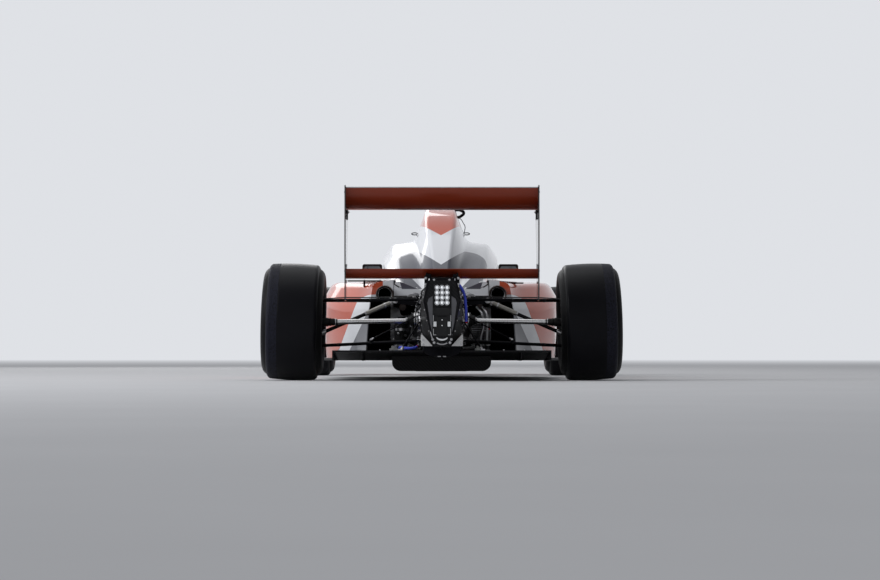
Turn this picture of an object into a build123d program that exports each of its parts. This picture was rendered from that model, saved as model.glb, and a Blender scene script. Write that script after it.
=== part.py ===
from build123d import *
from math import cos, radians, sin
import os

# Open wheel racing car, millimetres. The nose points to +Y, the driver's right is +X, the ground is Z = 0.
# The origin is the middle of the footprint, half way along the overall length.

# Overall sizes
WHEELBASE = 2650.0
FRONT_OVERHANG = 900.0
REAR_OVERHANG = 650.0
FRONT_TRACK = 1500.0
REAR_TRACK = 1474.0
LENGTH = WHEELBASE + FRONT_OVERHANG + REAR_OVERHANG
TAIL_Y = -LENGTH / 2
FRONT_Y = LENGTH / 2
REAR_AXLE_Y = TAIL_Y + REAR_OVERHANG
FRONT_AXLE_Y = FRONT_Y - FRONT_OVERHANG

# Running clearances
SEAT_GAP = 0.3
BEARING_GAP = 0.4
PIVOT_GAP = 0.5

# Wheels: station, half track, tyre radius, tread and section width, rim width, camber
AXLES = {
    "front": dict(
        y=FRONT_AXLE_Y, x=FRONT_TRACK / 2, radius=271.0, tread=184.0, section=232.0, rim=203.0, camber=2.0
    ),
    "rear": dict(
        y=REAR_AXLE_Y, x=REAR_TRACK / 2, radius=291.0, tread=250.0, section=302.0, rim=254.0, camber=1.7
    ),
}
CROWN_RADIUS = 1250.0
SHOULDER = 20.0
RIM_SEAT_R = 165.0
FLANGE_R = 178.0
FLANGE_T = 8.0
BARREL_R = 152.0
SPOKES = 10
DISC_R = 125.0
DISC_T = 16.0
HUB_R = 25.0
HUB_OVERRUN = 36.0
CUP_DEPTH = 40.0
CARRIER_WALL = 17.0

# Stations along the car, from the axles and the tub's rear bulkhead
BULKHEAD_Y = FRONT_AXLE_Y + 130
TUB_REAR_Y = REAR_AXLE_Y + 1000
ENGINE_REAR_Y = REAR_AXLE_Y + 370
GEARBOX_REAR_Y = REAR_AXLE_Y - 270

# Floor: the middle box hangs below the side sheets by one step
FLOOR_Z = 45.0
STEP = 52.0
SHEET = 12.0
DECK_Z = FLOOR_Z + STEP
TUB_FLOOR_Z = DECK_Z + SHEET
BOX_HALF = 246.0
BOX_EDGE_R = 44.0
BOX_TAIL = 330.0
PLANK_HALF = 130.0
PLANK_T = 4.0
FLOOR_FRONT_Y = TUB_REAR_Y + 780
FLOOR_HALF = 615.0
TONGUE = 170.0
DIFFUSER_HALF = 530.0
DIFFUSER_START_Y = REAR_AXLE_Y + 260
DIFFUSER_END_Y = REAR_AXLE_Y - 400
DIFFUSER_EXIT_Z = 140.0
DIFFUSER_T = 8.0
FENCE_T = 5.0
FENCES = (DIFFUSER_HALF - FENCE_T / 2, 385.0)

# Cockpit
TUB_WALL = 24.0
SEAT_BACK_Y = TUB_REAR_Y + 220
DASH_Y = TUB_REAR_Y + 1006
OPENING_HALF = 205.0
OPENING_FRONT_Y = TUB_REAR_Y + 995
OPENING_KNEE_Y = TUB_REAR_Y + 610
OPENING_REAR_Y = TUB_REAR_Y + 254
HOOP_Y = TUB_REAR_Y + 174
HOOP_R = 16.0
HOOP_FOOT = (104, 612)
HOOP_KNEE = (74, 838)
HOOP_TOP = (40, 899)
SEAT_T = 16.0
SURROUND_REAR_Y = TUB_REAR_Y + 218
SURROUND_FRONT_Y = TUB_REAR_Y + 600
MIRROR_X = 385.0
MIRROR_Y = TUB_REAR_Y + 600
MIRROR_Z = 612.0

# Engine cover and sidepods
COVER_WALL = 5.0
POD_WALL = 5.0
COVER_FRONT_Y = TUB_REAR_Y + 210
COVER_REAR_Y = REAR_AXLE_Y + 345
POD_FRONT_Y = TUB_REAR_Y + 750
POD_REAR_Y = REAR_AXLE_Y + 350
RADIATOR_Y = TUB_REAR_Y + 260
PULL_Y = COVER_FRONT_Y - 28

# Tail
CASE_BASE_Z = TUB_FLOOR_Z + 13
FLANGE_RISE = 7.0
CASE_FLANGE_T = 10.0
LIGHT_W = 68.0
LIGHT_H = 95.0
LIGHT_T = 22.0
LIGHT_Z = 409.0
EXHAUST_X = 290.0
EXHAUST_Y = REAR_AXLE_Y + 300
EXHAUST_Z = 436.0
EXHAUST_R = 44.0
EXHAUST_WALL = 7.0
PIPE_GAP = 3.0
COVER_HEM_X = EXHAUST_X - EXHAUST_R - PIPE_GAP
TRANSOM_Z = 412.0

# Rear wing
WING_HALF_SPAN = 465.0
ENDPLATE_T = 6.0
WING_TOP_Z = 936.0
WING_BOTTOM_Z = 385.0
WING_REAR_Y = TAIL_Y + 90
BEAM_Z = 511.0

# Front wing
FRONT_WING_HALF = 700.0
FLAP_INNER = 150.0

# Tow eyes: middle along the car, lower and upper edge, hole height
EYE_PLATE_T = 10.0
TOW_R = 20.0
FRONT_EYE = (BULKHEAD_Y + 75, 430.0, 540.0, 506.0)
REAR_EYE = (TAIL_Y + 200, 104.0, 200.0, 136.0)

# Steering
STEERING_ARM = 100.0
RACK_Z = 232.0
RACK_HALF = 235.0
RACK_R = 13.0
EYE_HOLE_R = 11.5
EYE_PIN_R = 5.0
EYE_T = 12.0
ARM_T = 13.0
ARM_GAP = 6.0
COLUMN_LOW = Vector(0, FRONT_AXLE_Y + 76, 272)
COLUMN_HIGH = Vector(0, TUB_REAR_Y + 845, 548)
COLUMN_R = 11.0
BOSS_H = 26.0
BOSS_R = 16.0
PIN_R = 7.0

# Driveshafts
SHAFT_INNER = Vector(116, REAR_AXLE_Y, 297)
SHAFT_R = 12.5
SHAFT_JOINT_R = 40.0
STUB_R = 14.0
STUB_L = 22.0
BALL_R = 17.0
CUP_R = 22.0


def hub_z(axle):
    """Height of the wheel centre: the crowned, cambered tread just touches the ground."""
    return (axle["radius"] - CROWN_RADIUS) * cos(radians(axle["camber"])) + CROWN_RADIUS


def hub_centre(axle):
    return Vector(axle["x"], axle["y"], hub_z(axle))


def hub_axis(axle):
    """Outward direction of the right hand axle: the wheel's top leans inward."""
    tilt = radians(axle["camber"])
    return Vector(cos(tilt), 0, sin(tilt))


def hub_plane(axle):
    return Plane(origin=hub_centre(axle), x_dir=(0, 1, 0), z_dir=hub_axis(axle))


def from_hub(end, x, y, z):
    """Point given from the middle of the right hand wheel at one end of the car."""
    centre = hub_centre(AXLES[end])
    return Vector(centre.X + x, centre.Y + y, centre.Z + z)


def left_of(shape):
    return mirror(shape, about=Plane.YZ)


def pair(shape):
    """A right hand piece with its mirror image."""
    return Compound([*shape.solids(), *left_of(shape).solids()])


def outline(points, fillets):
    """Closed face from corner points, each corner with its own fillet radius."""
    return make_face(FilletPolyline(*points, radius=fillets, close=True))


def station(y):
    """Cross section plane at a station along the car: local x is +X, local y is +Z."""
    return Plane(origin=(0, y, 0), x_dir=(1, 0, 0), z_dir=(0, -1, 0))


def side_view(x):
    """Plane seen from the right: local x is +Y, local y is +Z, extruding to +X."""
    return Plane(origin=(x, 0, 0), x_dir=(0, 1, 0), z_dir=(1, 0, 0))


def whole_section(y, half, fillets):
    """Section symmetric about the middle, from its right hand corners bottom to top."""
    points = list(half) + [(-x, z) for x, z in reversed(half)]
    return station(y) * outline(points, list(fillets) + list(reversed(fillets)))


def rod(start, end, radius):
    start, end = Vector(*start), Vector(*end)
    reach = end - start
    plane = Plane(origin=start, z_dir=reach)
    return plane * upright_cylinder(radius, reach.length)


def upright_cylinder(radius, height):
    """Cylinder that stands on its own plane."""
    return Cylinder(radius, height, align=(Align.CENTER, Align.CENTER, Align.MIN))


def blade(start, end, chord, thick):
    """Streamlined suspension tube: a flat oval along the airflow, rounded at both edges."""
    start, end = Vector(*start), Vector(*end)
    reach = end - start
    plane = Plane(origin=start, x_dir=(0, 1, 0), z_dir=reach)
    return extrude(plane * SlotOverall(chord, thick), amount=reach.length)


def bent_tube(points, bends, radius):
    path = FilletPolyline(*points, radius=bends)
    return sweep(path.location_at(0) * Circle(radius), path=path)


# Wheels

def tyre(axle):
    """Slick tyre: crowned tread, rounded shoulders and bulging side walls, in hub coordinates."""
    bead = axle["rim"] / 2 - FLANGE_T - SEAT_GAP
    inner = RIM_SEAT_R + SEAT_GAP
    radius = axle["radius"]
    edge = axle["tread"] / 2 - SHOULDER
    drop = CROWN_RADIUS - (CROWN_RADIUS**2 - edge**2) ** 0.5
    shoulder_r = radius - drop
    wall_r = shoulder_r - SHOULDER
    bulge = axle["section"] / 2
    middle = (FLANGE_R + wall_r) / 2
    right = (
        Line((inner, bead), (FLANGE_R + 4, bead))
        + ThreePointArc((FLANGE_R + 4, bead), (middle, bulge), (wall_r, axle["tread"] / 2))
        + RadiusArc((wall_r, axle["tread"] / 2), (shoulder_r, edge), SHOULDER * 1.05)
    )
    half = make_face(
        right
        + ThreePointArc((shoulder_r, edge), (radius, 0), (shoulder_r, -edge))
        + mirror(right, about=Plane.XZ)
        + Line((inner, -bead), (inner, bead))
    )
    return revolve(Plane.XZ * half, Axis.Z, 360)


def rim(axle):
    """Wheel: barrel with its two flanges, a dished centre with open spokes, hub shaft, brake disc and nut."""
    half = axle["rim"] / 2
    dish = half * 0.45
    barrel = outline(
        [
            (FLANGE_R, half),
            (FLANGE_R, half - FLANGE_T),
            (RIM_SEAT_R, half - FLANGE_T),
            (RIM_SEAT_R, half - 34),
            (158, half - 48),
            (158, -half + 48),
            (RIM_SEAT_R, -half + 34),
            (RIM_SEAT_R, -half + FLANGE_T),
            (FLANGE_R, -half + FLANGE_T),
            (FLANGE_R, -half),
            (BARREL_R + 6, -half),
            (BARREL_R, -half + 14),
            (BARREL_R, half - 14),
            (BARREL_R + 6, half),
        ],
        [2, 1, 0, 4, 6, 6, 4, 0, 1, 2, 2, 4, 4, 2],
    )
    centre = outline(
        [
            (20, dish - 30),
            (52, dish - 30),
            (112, dish + 6),
            (BARREL_R + 2, dish + 12),
            (BARREL_R + 2, dish + 28),
            (104, dish + 22),
            (48, dish - 10),
            (20, dish - 10),
        ],
        [0, 10, 12, 0, 0, 12, 10, 0],
    )
    wheel = revolve(Plane.XZ * barrel, Axis.Z, 360) + revolve(Plane.XZ * centre, Axis.Z, 360)
    wide, narrow = 23.0, 9.0
    window = outline([(62, -narrow), (138, -wide), (138, wide), (62, narrow)], 7)
    cutter = extrude(Plane.XY.offset(dish - 60) * window, amount=120)
    for turn in range(SPOKES):
        wheel -= Rot(0, 0, turn * 360 / SPOKES) * cutter
    return wheel + hub_and_disc(axle, dish)


def hub_and_disc(axle, dish):
    """Hub shaft through the bearing carrier, brake disc on its bell, and the centre nut."""
    disc = disc_offset(axle)
    inner_end = carrier_offset(axle) - HUB_OVERRUN
    profile = Polyline(
        (0, inner_end),
        (HUB_R + 3, inner_end),
        (HUB_R + 3, inner_end + 8),
        (HUB_R, inner_end + 8),
        (HUB_R, disc + 14),
        (62, disc + 14),
        (72, disc + 4),
        (72, disc - DISC_T / 2),
        (DISC_R, disc - DISC_T / 2),
        (DISC_R, disc + DISC_T / 2),
        (80, disc + DISC_T / 2),
        (68, disc + 22),
        (44, disc + 22),
        (44, dish - 30),
        (36, dish + 4),
        (30, dish + 14),
        (0, dish + 14),
        close=True,
    )
    hub = revolve(Plane.XZ * make_face(profile), Axis.Z, 360)
    if axle is AXLES["rear"]:
        hub -= Pos(0, 0, inner_end - 1) * upright_cylinder(CUP_R, CUP_DEPTH + 1)
    return hub


def disc_offset(axle):
    """Brake disc position along the hub, inboard of the wheel's centre plane."""
    return -axle["rim"] / 2 * 0.28


def carrier_offset(axle):
    """Middle of the bearing carrier along the hub."""
    return disc_offset(axle) - 38


def carrier(axle):
    """Bearing housing round the hub shaft, with the brake caliper that straddles the disc."""
    middle = carrier_offset(axle)
    length = 44.0
    shell = Cylinder(HUB_R + BEARING_GAP + CARRIER_WALL, length)
    shell -= Cylinder(HUB_R + BEARING_GAP, length)
    shell = Pos(0, 0, middle) * shell
    disc = disc_offset(axle)
    caliper = Pos(-108, 0, disc) * Box(52, 96, DISC_T + 36)
    caliper = fillet(caliper.edges().filter_by(Axis.Z), 9)
    caliper -= Pos(0, 0, disc) * Cylinder(DISC_R + 5, DISC_T + 10)
    reach = Pos(-66, 0, middle + 6) * Box(76, 30, 28)
    reach -= Pos(0, 0, middle) * Cylinder(HUB_R + BEARING_GAP + 4, length + 20)
    reach -= Pos(0, 0, disc) * Cylinder(DISC_R + 5, DISC_T + 10)
    return shell + caliper + reach


# Front and rear uprights

STEER_LOWER = from_hub("front", -95, 4, -103.5)
STEER_UPPER = from_hub("front", -109, -8, 100.5)


def pivot_plane():
    return Plane(origin=STEER_LOWER, x_dir=(1, 0, 0), z_dir=STEER_UPPER - STEER_LOWER)


def pivot_span():
    return (STEER_UPPER - STEER_LOWER).length


def front_upright():
    """Right hand knuckle: bearing housing, king pin stubs, steering arm and caliper."""
    axle = AXLES["front"]
    span = pivot_span()
    post_bottom = BOSS_H / 2 + PIVOT_GAP
    post_top = span - BOSS_H / 2 - PIVOT_GAP
    spine = Pos(0, 0, (post_bottom + post_top) / 2) * Box(30, 40, post_top - post_bottom)
    spine = fillet(spine.edges().filter_by(Axis.Z), 8)
    foot = -BOSS_H / 2 - PIVOT_GAP
    crown = span + BOSS_H / 2 + PIVOT_GAP
    for low, high in ((foot, post_bottom + 2), (post_top - 2, crown)):
        spine += Pos(0, 0, (low + high) / 2) * Cylinder(PIN_R, high - low)
    for end in (foot - 4, crown + 4):
        spine += Pos(0, 0, end) * Cylinder(PIN_R + 4, 8)
    body = pivot_plane() * spine
    bore = hub_plane(axle) * Pos(0, 0, carrier_offset(axle)) * Cylinder(HUB_R + BEARING_GAP + 4, 120)
    body = body - bore + hub_plane(axle) * carrier(axle)
    eye = steering_eye()
    arm_z = RACK_Z - EYE_T / 2 - ARM_GAP - ARM_T
    arm = outline(
        [
            (eye.X - 20, FRONT_AXLE_Y + 10),
            (eye.X + 20, FRONT_AXLE_Y + 10),
            (eye.X + 11, eye.Y + 11),
            (eye.X - 11, eye.Y + 11),
        ],
        [2, 2, 9, 9],
    )
    arm = extrude(Plane.XY.offset(arm_z) * arm, amount=ARM_T)
    arm += Pos(eye.X, eye.Y, RACK_Z) * Cylinder(EYE_PIN_R, EYE_T + 2 * (ARM_GAP + 4))
    return body + arm


def steering_eye():
    """Rest position of the outer steering pivot, ahead of the king pin by the arm's length."""
    share = (RACK_Z - STEER_LOWER.Z) / (STEER_UPPER.Z - STEER_LOWER.Z)
    on_pin = STEER_LOWER + (STEER_UPPER - STEER_LOWER) * share
    return Vector(on_pin.X, on_pin.Y + STEERING_ARM, RACK_Z)


def rear_upright():
    """Right hand rear hub carrier between the wishbone ends, fixed in toe."""
    axle = AXLES["rear"]
    hub = hub_centre(axle)
    corners = [(-132, -137), (-64, -145), (-52, 3), (-68, 125), (-120, 125), (-104, 3)]
    spine = outline([(hub.X + x, hub.Z + z) for x, z in corners], [6, 14, 30, 14, 6, 30])
    body = extrude(station(hub.Y) * spine, amount=26, both=True)
    bore = hub_plane(axle) * Pos(0, 0, carrier_offset(axle)) * Cylinder(HUB_R + BEARING_GAP + 4, 160)
    disc_room = hub_plane(axle) * Pos(0, 0, disc_offset(axle)) * Cylinder(DISC_R + 5, DISC_T + 10)
    lug = Pos(*from_hub("rear", -116, 34, -65)) * Box(30, 30, 34)
    return body - bore - disc_room + lug + hub_plane(axle) * carrier(axle)


# Suspension arms: name, outer end, inner front end, inner rear end, chord, thickness
FRONT_ARMS = [
    ("upper", STEER_UPPER, (170, FRONT_AXLE_Y + 100, 432), (190, FRONT_AXLE_Y - 250, 440), 26, 13),
    ("lower", STEER_LOWER, (120, FRONT_AXLE_Y + 100, 196), (140, FRONT_AXLE_Y - 260, 176), 28, 14),
]
ARM_END_UPPER = from_hub("rear", -102, 0, 106)
ARM_END_LOWER = from_hub("rear", -106, 0, -121)
REAR_ARMS = [
    ("upper", ARM_END_UPPER, (95, REAR_AXLE_Y + 330, 402), (90, REAR_AXLE_Y - 110, 400), 28, 15),
    ("lower", ARM_END_LOWER, (100, REAR_AXLE_Y + 340, 198), (90, REAR_AXLE_Y - 120, 196), 30, 16),
]


def front_arm(outer, fore, aft, chord, thick):
    """One right hand wishbone: two flat tubes that meet in the boss round the king pin."""
    arm = blade(outer, fore, chord, thick) + blade(outer, aft, chord, thick)
    if outer is STEER_LOWER:
        arm += pushrod_saddle()
    plane = Plane(origin=outer, x_dir=(1, 0, 0), z_dir=STEER_UPPER - STEER_LOWER)
    arm += plane * Cylinder(BOSS_R, BOSS_H)
    return arm - plane * Cylinder(PIN_R + BEARING_GAP, BOSS_H + 80)


def rear_arm(outer, fore, aft, chord, thick):
    """One right hand rear wishbone: two flat tubes into a forged outer end."""
    arm = blade(outer, fore, chord, thick) + blade(outer, aft, chord, thick)
    return arm + Pos(*outer) * Cylinder(15, 26)


def front_pushrod():
    return rod(STEER_LOWER + Vector(-57, -8, 4), (120, FRONT_AXLE_Y + 20, 462), 10)


def pushrod_saddle():
    """Cross plate between the lower front wishbone's tubes, with the pushrod's foot."""
    return Pos(*(STEER_LOWER + Vector(-57, -9, 3))) * Box(30, 58, 12)


def rear_pushrod():
    """Rear pushrod with the thicker adjuster sleeve at its inner end."""
    low = from_hub("rear", -126, 30, -61)
    high = Vector(232, REAR_AXLE_Y + 62, 396)
    thin = rod(low, high, 9)
    sleeve_start = low + (high - low) * 0.62
    return thin + rod(sleeve_start, high, 12)


def rear_rocker():
    """Bell crank on the gearbox top that the pushrod meets."""
    corners = [(60, 384), (120, 372), (240, 384), (246, 410), (120, 424), (60, 420)]
    plate = outline(corners, [3, 8, 8, 8, 8, 3])
    return extrude(station(REAR_AXLE_Y + 62) * plate, amount=11, both=True)


# Driveshafts

def shaft_outer():
    """Middle of the outer joint's ball, inside the hub's cup."""
    axle = AXLES["rear"]
    return hub_centre(axle) + hub_axis(axle) * (carrier_offset(axle) - 26)


def shaft_reach():
    """Outward direction of the right hand driveshaft."""
    return (shaft_outer() - SHAFT_INNER).normalized()


def driveshaft():
    """Right hand driveshaft: splined stub, inner joint, slim bright shaft, boot and outer ball."""
    length = (shaft_outer() - SHAFT_INNER).length
    profile = Polyline(
        (0, -STUB_L),
        (STUB_R, -STUB_L),
        (STUB_R, 0),
        (SHAFT_JOINT_R, 0),
        (SHAFT_JOINT_R, 24),
        (26, 34),
        (17, 43),
        (SHAFT_R, 48),
        (SHAFT_R, length - 6),
        (0, length - 6),
        close=True,
    )
    shaft = revolve(Plane.XZ * make_face(profile), Axis.Z, 360)
    shaft += Pos(0, 0, length) * Sphere(BALL_R)
    return Plane(origin=SHAFT_INNER, z_dir=shaft_reach()) * shaft


# Monocoque and nose

# Columns: station, floor height and half width, side half width, its low and high edge, top, top half,
# fillet scale
TUB_SECTIONS = [
    (BULKHEAD_Y, 190, 100, 150, 250, 400, 486, 96, 1.0),
    (FRONT_AXLE_Y - 300, 126, 140, 190, 230, 430, 530, 118, 1.0),
    (TUB_REAR_Y + 900, TUB_FLOOR_Z, 200, 244, 210, 470, 590, 176, 1.0),
    (TUB_REAR_Y + 350, TUB_FLOOR_Z, 224, 272, 210, 520, 640, 232, 1.0),
    (TUB_REAR_Y, TUB_FLOOR_Z, 224, 272, 210, 520, 636, 200, 1.0),
]
NOSE_SECTIONS = [
    TUB_SECTIONS[0],
    (BULKHEAD_Y + 290, 205, 74, 112, 245, 345, 412, 66, 0.7),
    (FRONT_Y - 220, 205, 50, 78, 232, 290, 330, 42, 0.45),
    (FRONT_Y - 115, 224, 26, 42, 242, 262, 284, 22, 0.22),
]
TUB_FILLETS = (30, 60, 50, 34)


def tub_section(row, inset=0.0):
    y, floor, floor_half, side_half, low, high, top, top_half, scale = row
    half = [
        (floor_half - inset, floor + inset),
        (side_half - inset, low),
        (side_half - inset, high),
        (top_half - inset, top - inset),
    ]
    return whole_section(y, half, [scale * f for f in TUB_FILLETS])


def above_deck():
    """Everything that stands on the floor's upper face."""
    return Pos(0, 0, TUB_FLOOR_Z) * Box(3000, 6000, 2000, align=(Align.CENTER, Align.CENTER, Align.MIN))


def tub_outer():
    return loft([tub_section(row) for row in TUB_SECTIONS]) & above_deck()


def tub_cavity():
    rows = [(BULKHEAD_Y - 40, *TUB_SECTIONS[0][1:]), *TUB_SECTIONS[1:4], (SEAT_BACK_Y, *TUB_SECTIONS[3][1:])]
    return loft([tub_section(row, TUB_WALL) for row in rows])


def column_plane(distance):
    """Plane square to the steering column, a distance up from its lower end."""
    reach = COLUMN_HIGH - COLUMN_LOW
    return Plane(origin=COLUMN_LOW + reach.normalized() * distance, x_dir=(1, 0, 0), z_dir=reach)


def roll_hoop():
    """Steel main hoop behind the driver's head, round the air intake."""
    half = [HOOP_FOOT, HOOP_KNEE, HOOP_TOP]
    path = [(-x, HOOP_Y, z) for x, z in half] + [(x, HOOP_Y, z) for x, z in reversed(half)]
    return bent_tube(path, [50, 26, 26, 50], HOOP_R)


def monocoque(outer, cavity):
    """Tub with its open cockpit, dash bulkhead, column bearing and rack tunnel."""
    cockpit = outline(
        [
            (-OPENING_HALF, OPENING_REAR_Y),
            (-OPENING_HALF, OPENING_KNEE_Y),
            (-120, OPENING_FRONT_Y),
            (120, OPENING_FRONT_Y),
            (OPENING_HALF, OPENING_KNEE_Y),
            (OPENING_HALF, OPENING_REAR_Y),
        ],
        [60, 90, 70, 70, 90, 60],
    )
    tub = outer - cavity
    tub -= extrude(Plane.XY.offset(470) * cockpit, amount=300)
    dash = Pos(0, DASH_Y, 300) * Box(600, 14, 700) & cavity
    dash -= Pos(0, DASH_Y, 250) * Box(300, 60, 330)
    bearing = column_plane(-24) * upright_cylinder(COLUMN_R + 10, 60) & outer
    tub = tub + dash + bearing
    tub -= column_plane(-1) * upright_cylinder(COLUMN_R + BEARING_GAP, column_length() + 300)
    return tub - Pos(0, steering_eye().Y, RACK_Z) * Rot(0, 90, 0) * Cylinder(RACK_R + BEARING_GAP, 600)


def nose_cone():
    return loft([tub_section(row) for row in NOSE_SECTIONS])


def head_surround(outer):
    """Padded collar round the driver's helmet, seated on the rim of the opening."""
    rear, front = SURROUND_REAR_Y, SURROUND_FRONT_Y
    block = outline([(-226, rear), (-226, front), (226, front), (226, rear)], [8, 30, 30, 8])
    back, ahead = rear + 70, front + 60
    inside = outline([(-152, back), (-160, ahead), (160, ahead), (152, back)], [60, 2, 2, 60])
    rise = outline(
        [(rear - 20, 560), (rear - 20, 732), (rear + 112, 728), (front + 20, 660), (front + 20, 560)],
        [4, 6, 80, 4, 4],
    )
    collar = extrude(Plane.XY.offset(596) * block, amount=200)
    collar &= extrude(side_view(0) * rise, amount=300, both=True)
    collar -= extrude(Plane.XY.offset(500) * inside, amount=400)
    return collar - outer


def seat(tub):
    """Moulded seat shell: reclined back and thigh support, with raised sides."""
    base = TUB_FLOOR_Z + 11

    def slab(lift, half):
        side = outline(
            [
                (SEAT_BACK_Y + 6, base),
                (SEAT_BACK_Y + 6, base + 440 + lift * 0.3),
                (SEAT_BACK_Y + 50, base + 446 + lift * 0.3),
                (SEAT_BACK_Y + 270, base + 76 + lift),
                (SEAT_BACK_Y + 530, base + 50 + lift),
                (SEAT_BACK_Y + 650, base + 94 + lift),
                (SEAT_BACK_Y + 670, base + 84 + lift),
                (SEAT_BACK_Y + 670, base),
            ],
            [6, 12, 20, 110, 90, 10, 6, 6],
        )
        return extrude(side_view(0) * side, amount=half, both=True)

    shell = slab(55, 176)
    scoop = slab(0, 140)
    underside = slab(-SEAT_T, 176 - SEAT_T)
    above = Pos(0, SEAT_BACK_Y + 300, 500) * Box(280, 900, 800)
    return shell - (above - scoop) - underside - tub


# Floor, plank and diffuser

def floor_panel():
    """Stepped floor: full width deck with the hollow reference box below its middle."""
    depth = FLOOR_FRONT_Y - DIFFUSER_START_Y
    deck_plan = outline(
        [
            (-FLOOR_HALF + 60, FLOOR_FRONT_Y),
            (-FLOOR_HALF, FLOOR_FRONT_Y - 140),
            (-FLOOR_HALF, DIFFUSER_START_Y + 230),
            (-DIFFUSER_HALF, DIFFUSER_START_Y),
            (DIFFUSER_HALF, DIFFUSER_START_Y),
            (FLOOR_HALF, DIFFUSER_START_Y + 230),
            (FLOOR_HALF, FLOOR_FRONT_Y - 140),
            (FLOOR_HALF - 60, FLOOR_FRONT_Y),
        ],
        [40, 60, 60, 1, 1, 60, 60, 40],
    )
    deck = extrude(Plane.XY.offset(DECK_Z) * deck_plan, amount=SHEET)
    box = box_section(0) - box_section(SHEET)
    keel = extrude(station(FLOOR_FRONT_Y + TONGUE) * box, amount=depth + TONGUE)
    tongue = Pos(0, FLOOR_FRONT_Y + TONGUE / 2, DECK_Z) * Box(
        2 * BOX_HALF, TONGUE, SHEET, align=(Align.CENTER, Align.CENTER, Align.MIN)
    )
    return deck + tongue + keel


def box_section(inset):
    """Reference box under the deck, rounded along both lower edges."""
    half = BOX_HALF - inset
    low = FLOOR_Z + inset
    turn = BOX_EDGE_R - inset
    return outline([(half, low), (half, DECK_Z), (-half, DECK_Z), (-half, low)], [turn, 0, 0, turn])


def plank():
    rear, front = DIFFUSER_START_Y + 70, FLOOR_FRONT_Y + 130
    corners = [(-PLANK_HALF, rear), (-PLANK_HALF, front), (PLANK_HALF, front), (PLANK_HALF, rear)]
    plan = outline(corners, [8, 60, 60, 8])
    return extrude(Plane.XY.offset(FLOOR_Z - PLANK_T) * plan, amount=PLANK_T)


def diffuser():
    """Rising side channels with their fences, and the low middle box that runs on to the axle."""
    start, end = DIFFUSER_START_Y, DIFFUSER_END_Y
    exit_z = DIFFUSER_EXIT_Z
    top, exit_top = DECK_Z + DIFFUSER_T, exit_z + DIFFUSER_T
    roof = outline([(start, DECK_Z), (start, top), (end, exit_top), (end, exit_z)], 0)
    body = extrude(side_view(0) * roof, amount=DIFFUSER_HALF, both=True)
    skid = [(end, DECK_Z + 4), (end + 60, DECK_Z)]
    fence = outline([(start, DECK_Z), (start, DECK_Z + 4), (end, exit_z + 4), *skid], 0)
    for x in FENCES:
        for side in (-1, 1):
            body += extrude(side_view(side * x - FENCE_T / 2) * fence, amount=FENCE_T)
    keel = extrude(station(start) * (box_section(0) - box_section(DIFFUSER_T)), amount=BOX_TAIL)
    transom = extrude(station(start - BOX_TAIL + DIFFUSER_T) * box_section(0), amount=DIFFUSER_T)
    stop = start - BOX_TAIL
    wedge = outline([(start, DECK_Z - 1), (start, DECK_Z + 2), (stop, DECK_Z + 24), (stop, DECK_Z - 1)], 0)
    cheeks = extrude(side_view(0) * wedge, amount=BOX_HALF, both=True)
    return body + keel + transom + cheeks


# Bodywork

# Columns: station, then corners (x, z) of the right half: hem, shoulder, deck edge, airbox root, cap
COVER_SECTIONS = [
    (COVER_FRONT_Y, (306, 470), (316, 650), (262, 734), (148, 748), (74, 934)),
    (TUB_REAR_Y - 70, (300, 470), (306, 606), (250, 692), (138, 706), (82, 872)),
    (TUB_REAR_Y - 370, (290, 440), (284, 540), (222, 606), (116, 606), (62, 732)),
    (COVER_REAR_Y, (COVER_HEM_X, 430), (COVER_HEM_X - 2, 508), (196, 496), (84, 448), (30, 490)),
]
COVER_FILLETS = (0, 40, 40, 44, 26)
COVER_END_FILLETS = (0, 20, 40, 44, 14)

# Columns: station, then corners (x, z) of the right pod: inner hem, outer hem, flank, top edge, top inner
POD_SECTIONS = [
    (POD_FRONT_Y, (240, 90), (556, 90), (580, 400), (524, 480), (240, 502)),
    (TUB_REAR_Y + 400, (240, 90), (608, 90), (632, 424), (572, 514), (240, 526)),
    (TUB_REAR_Y - 30, (240, 90), (606, 90), (630, 410), (568, 514), (240, 530)),
    (TUB_REAR_Y - 370, (238, 90), (500, 90), (520, 372), (450, 496), (238, 526)),
    (POD_REAR_Y, (236, 90), (392, 90), (372, 366), (350, 496), (236, 514)),
]
POD_FILLETS = (0, 0, 60, 50, 0)
POD_END_FILLETS = (0, 0, 50, 36, 0)


def cover_section(row, fillets, inset=0.0):
    y, hem, shoulder, deck, root, cap = row
    drop = 60 if inset else 0
    half = [
        (hem[0] - inset, hem[1] - drop),
        (shoulder[0] - inset, shoulder[1] - inset * 0.5),
        (deck[0] - inset * 0.6, deck[1] - inset),
        (root[0] - inset * 1.1, root[1] - inset),
        (cap[0] - inset * 0.8, cap[1] - inset),
    ]
    return whole_section(y, half, fillets)


def cover_loft(inset=0.0, overrun=0.0):
    rows = [list(row) for row in COVER_SECTIONS]
    rows[0][0] += overrun
    rows[-1][0] -= overrun
    fillets = [COVER_FILLETS, COVER_FILLETS, COVER_FILLETS, COVER_END_FILLETS]
    return loft([cover_section(row, kinds, inset) for row, kinds in zip(rows, fillets)])


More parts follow.
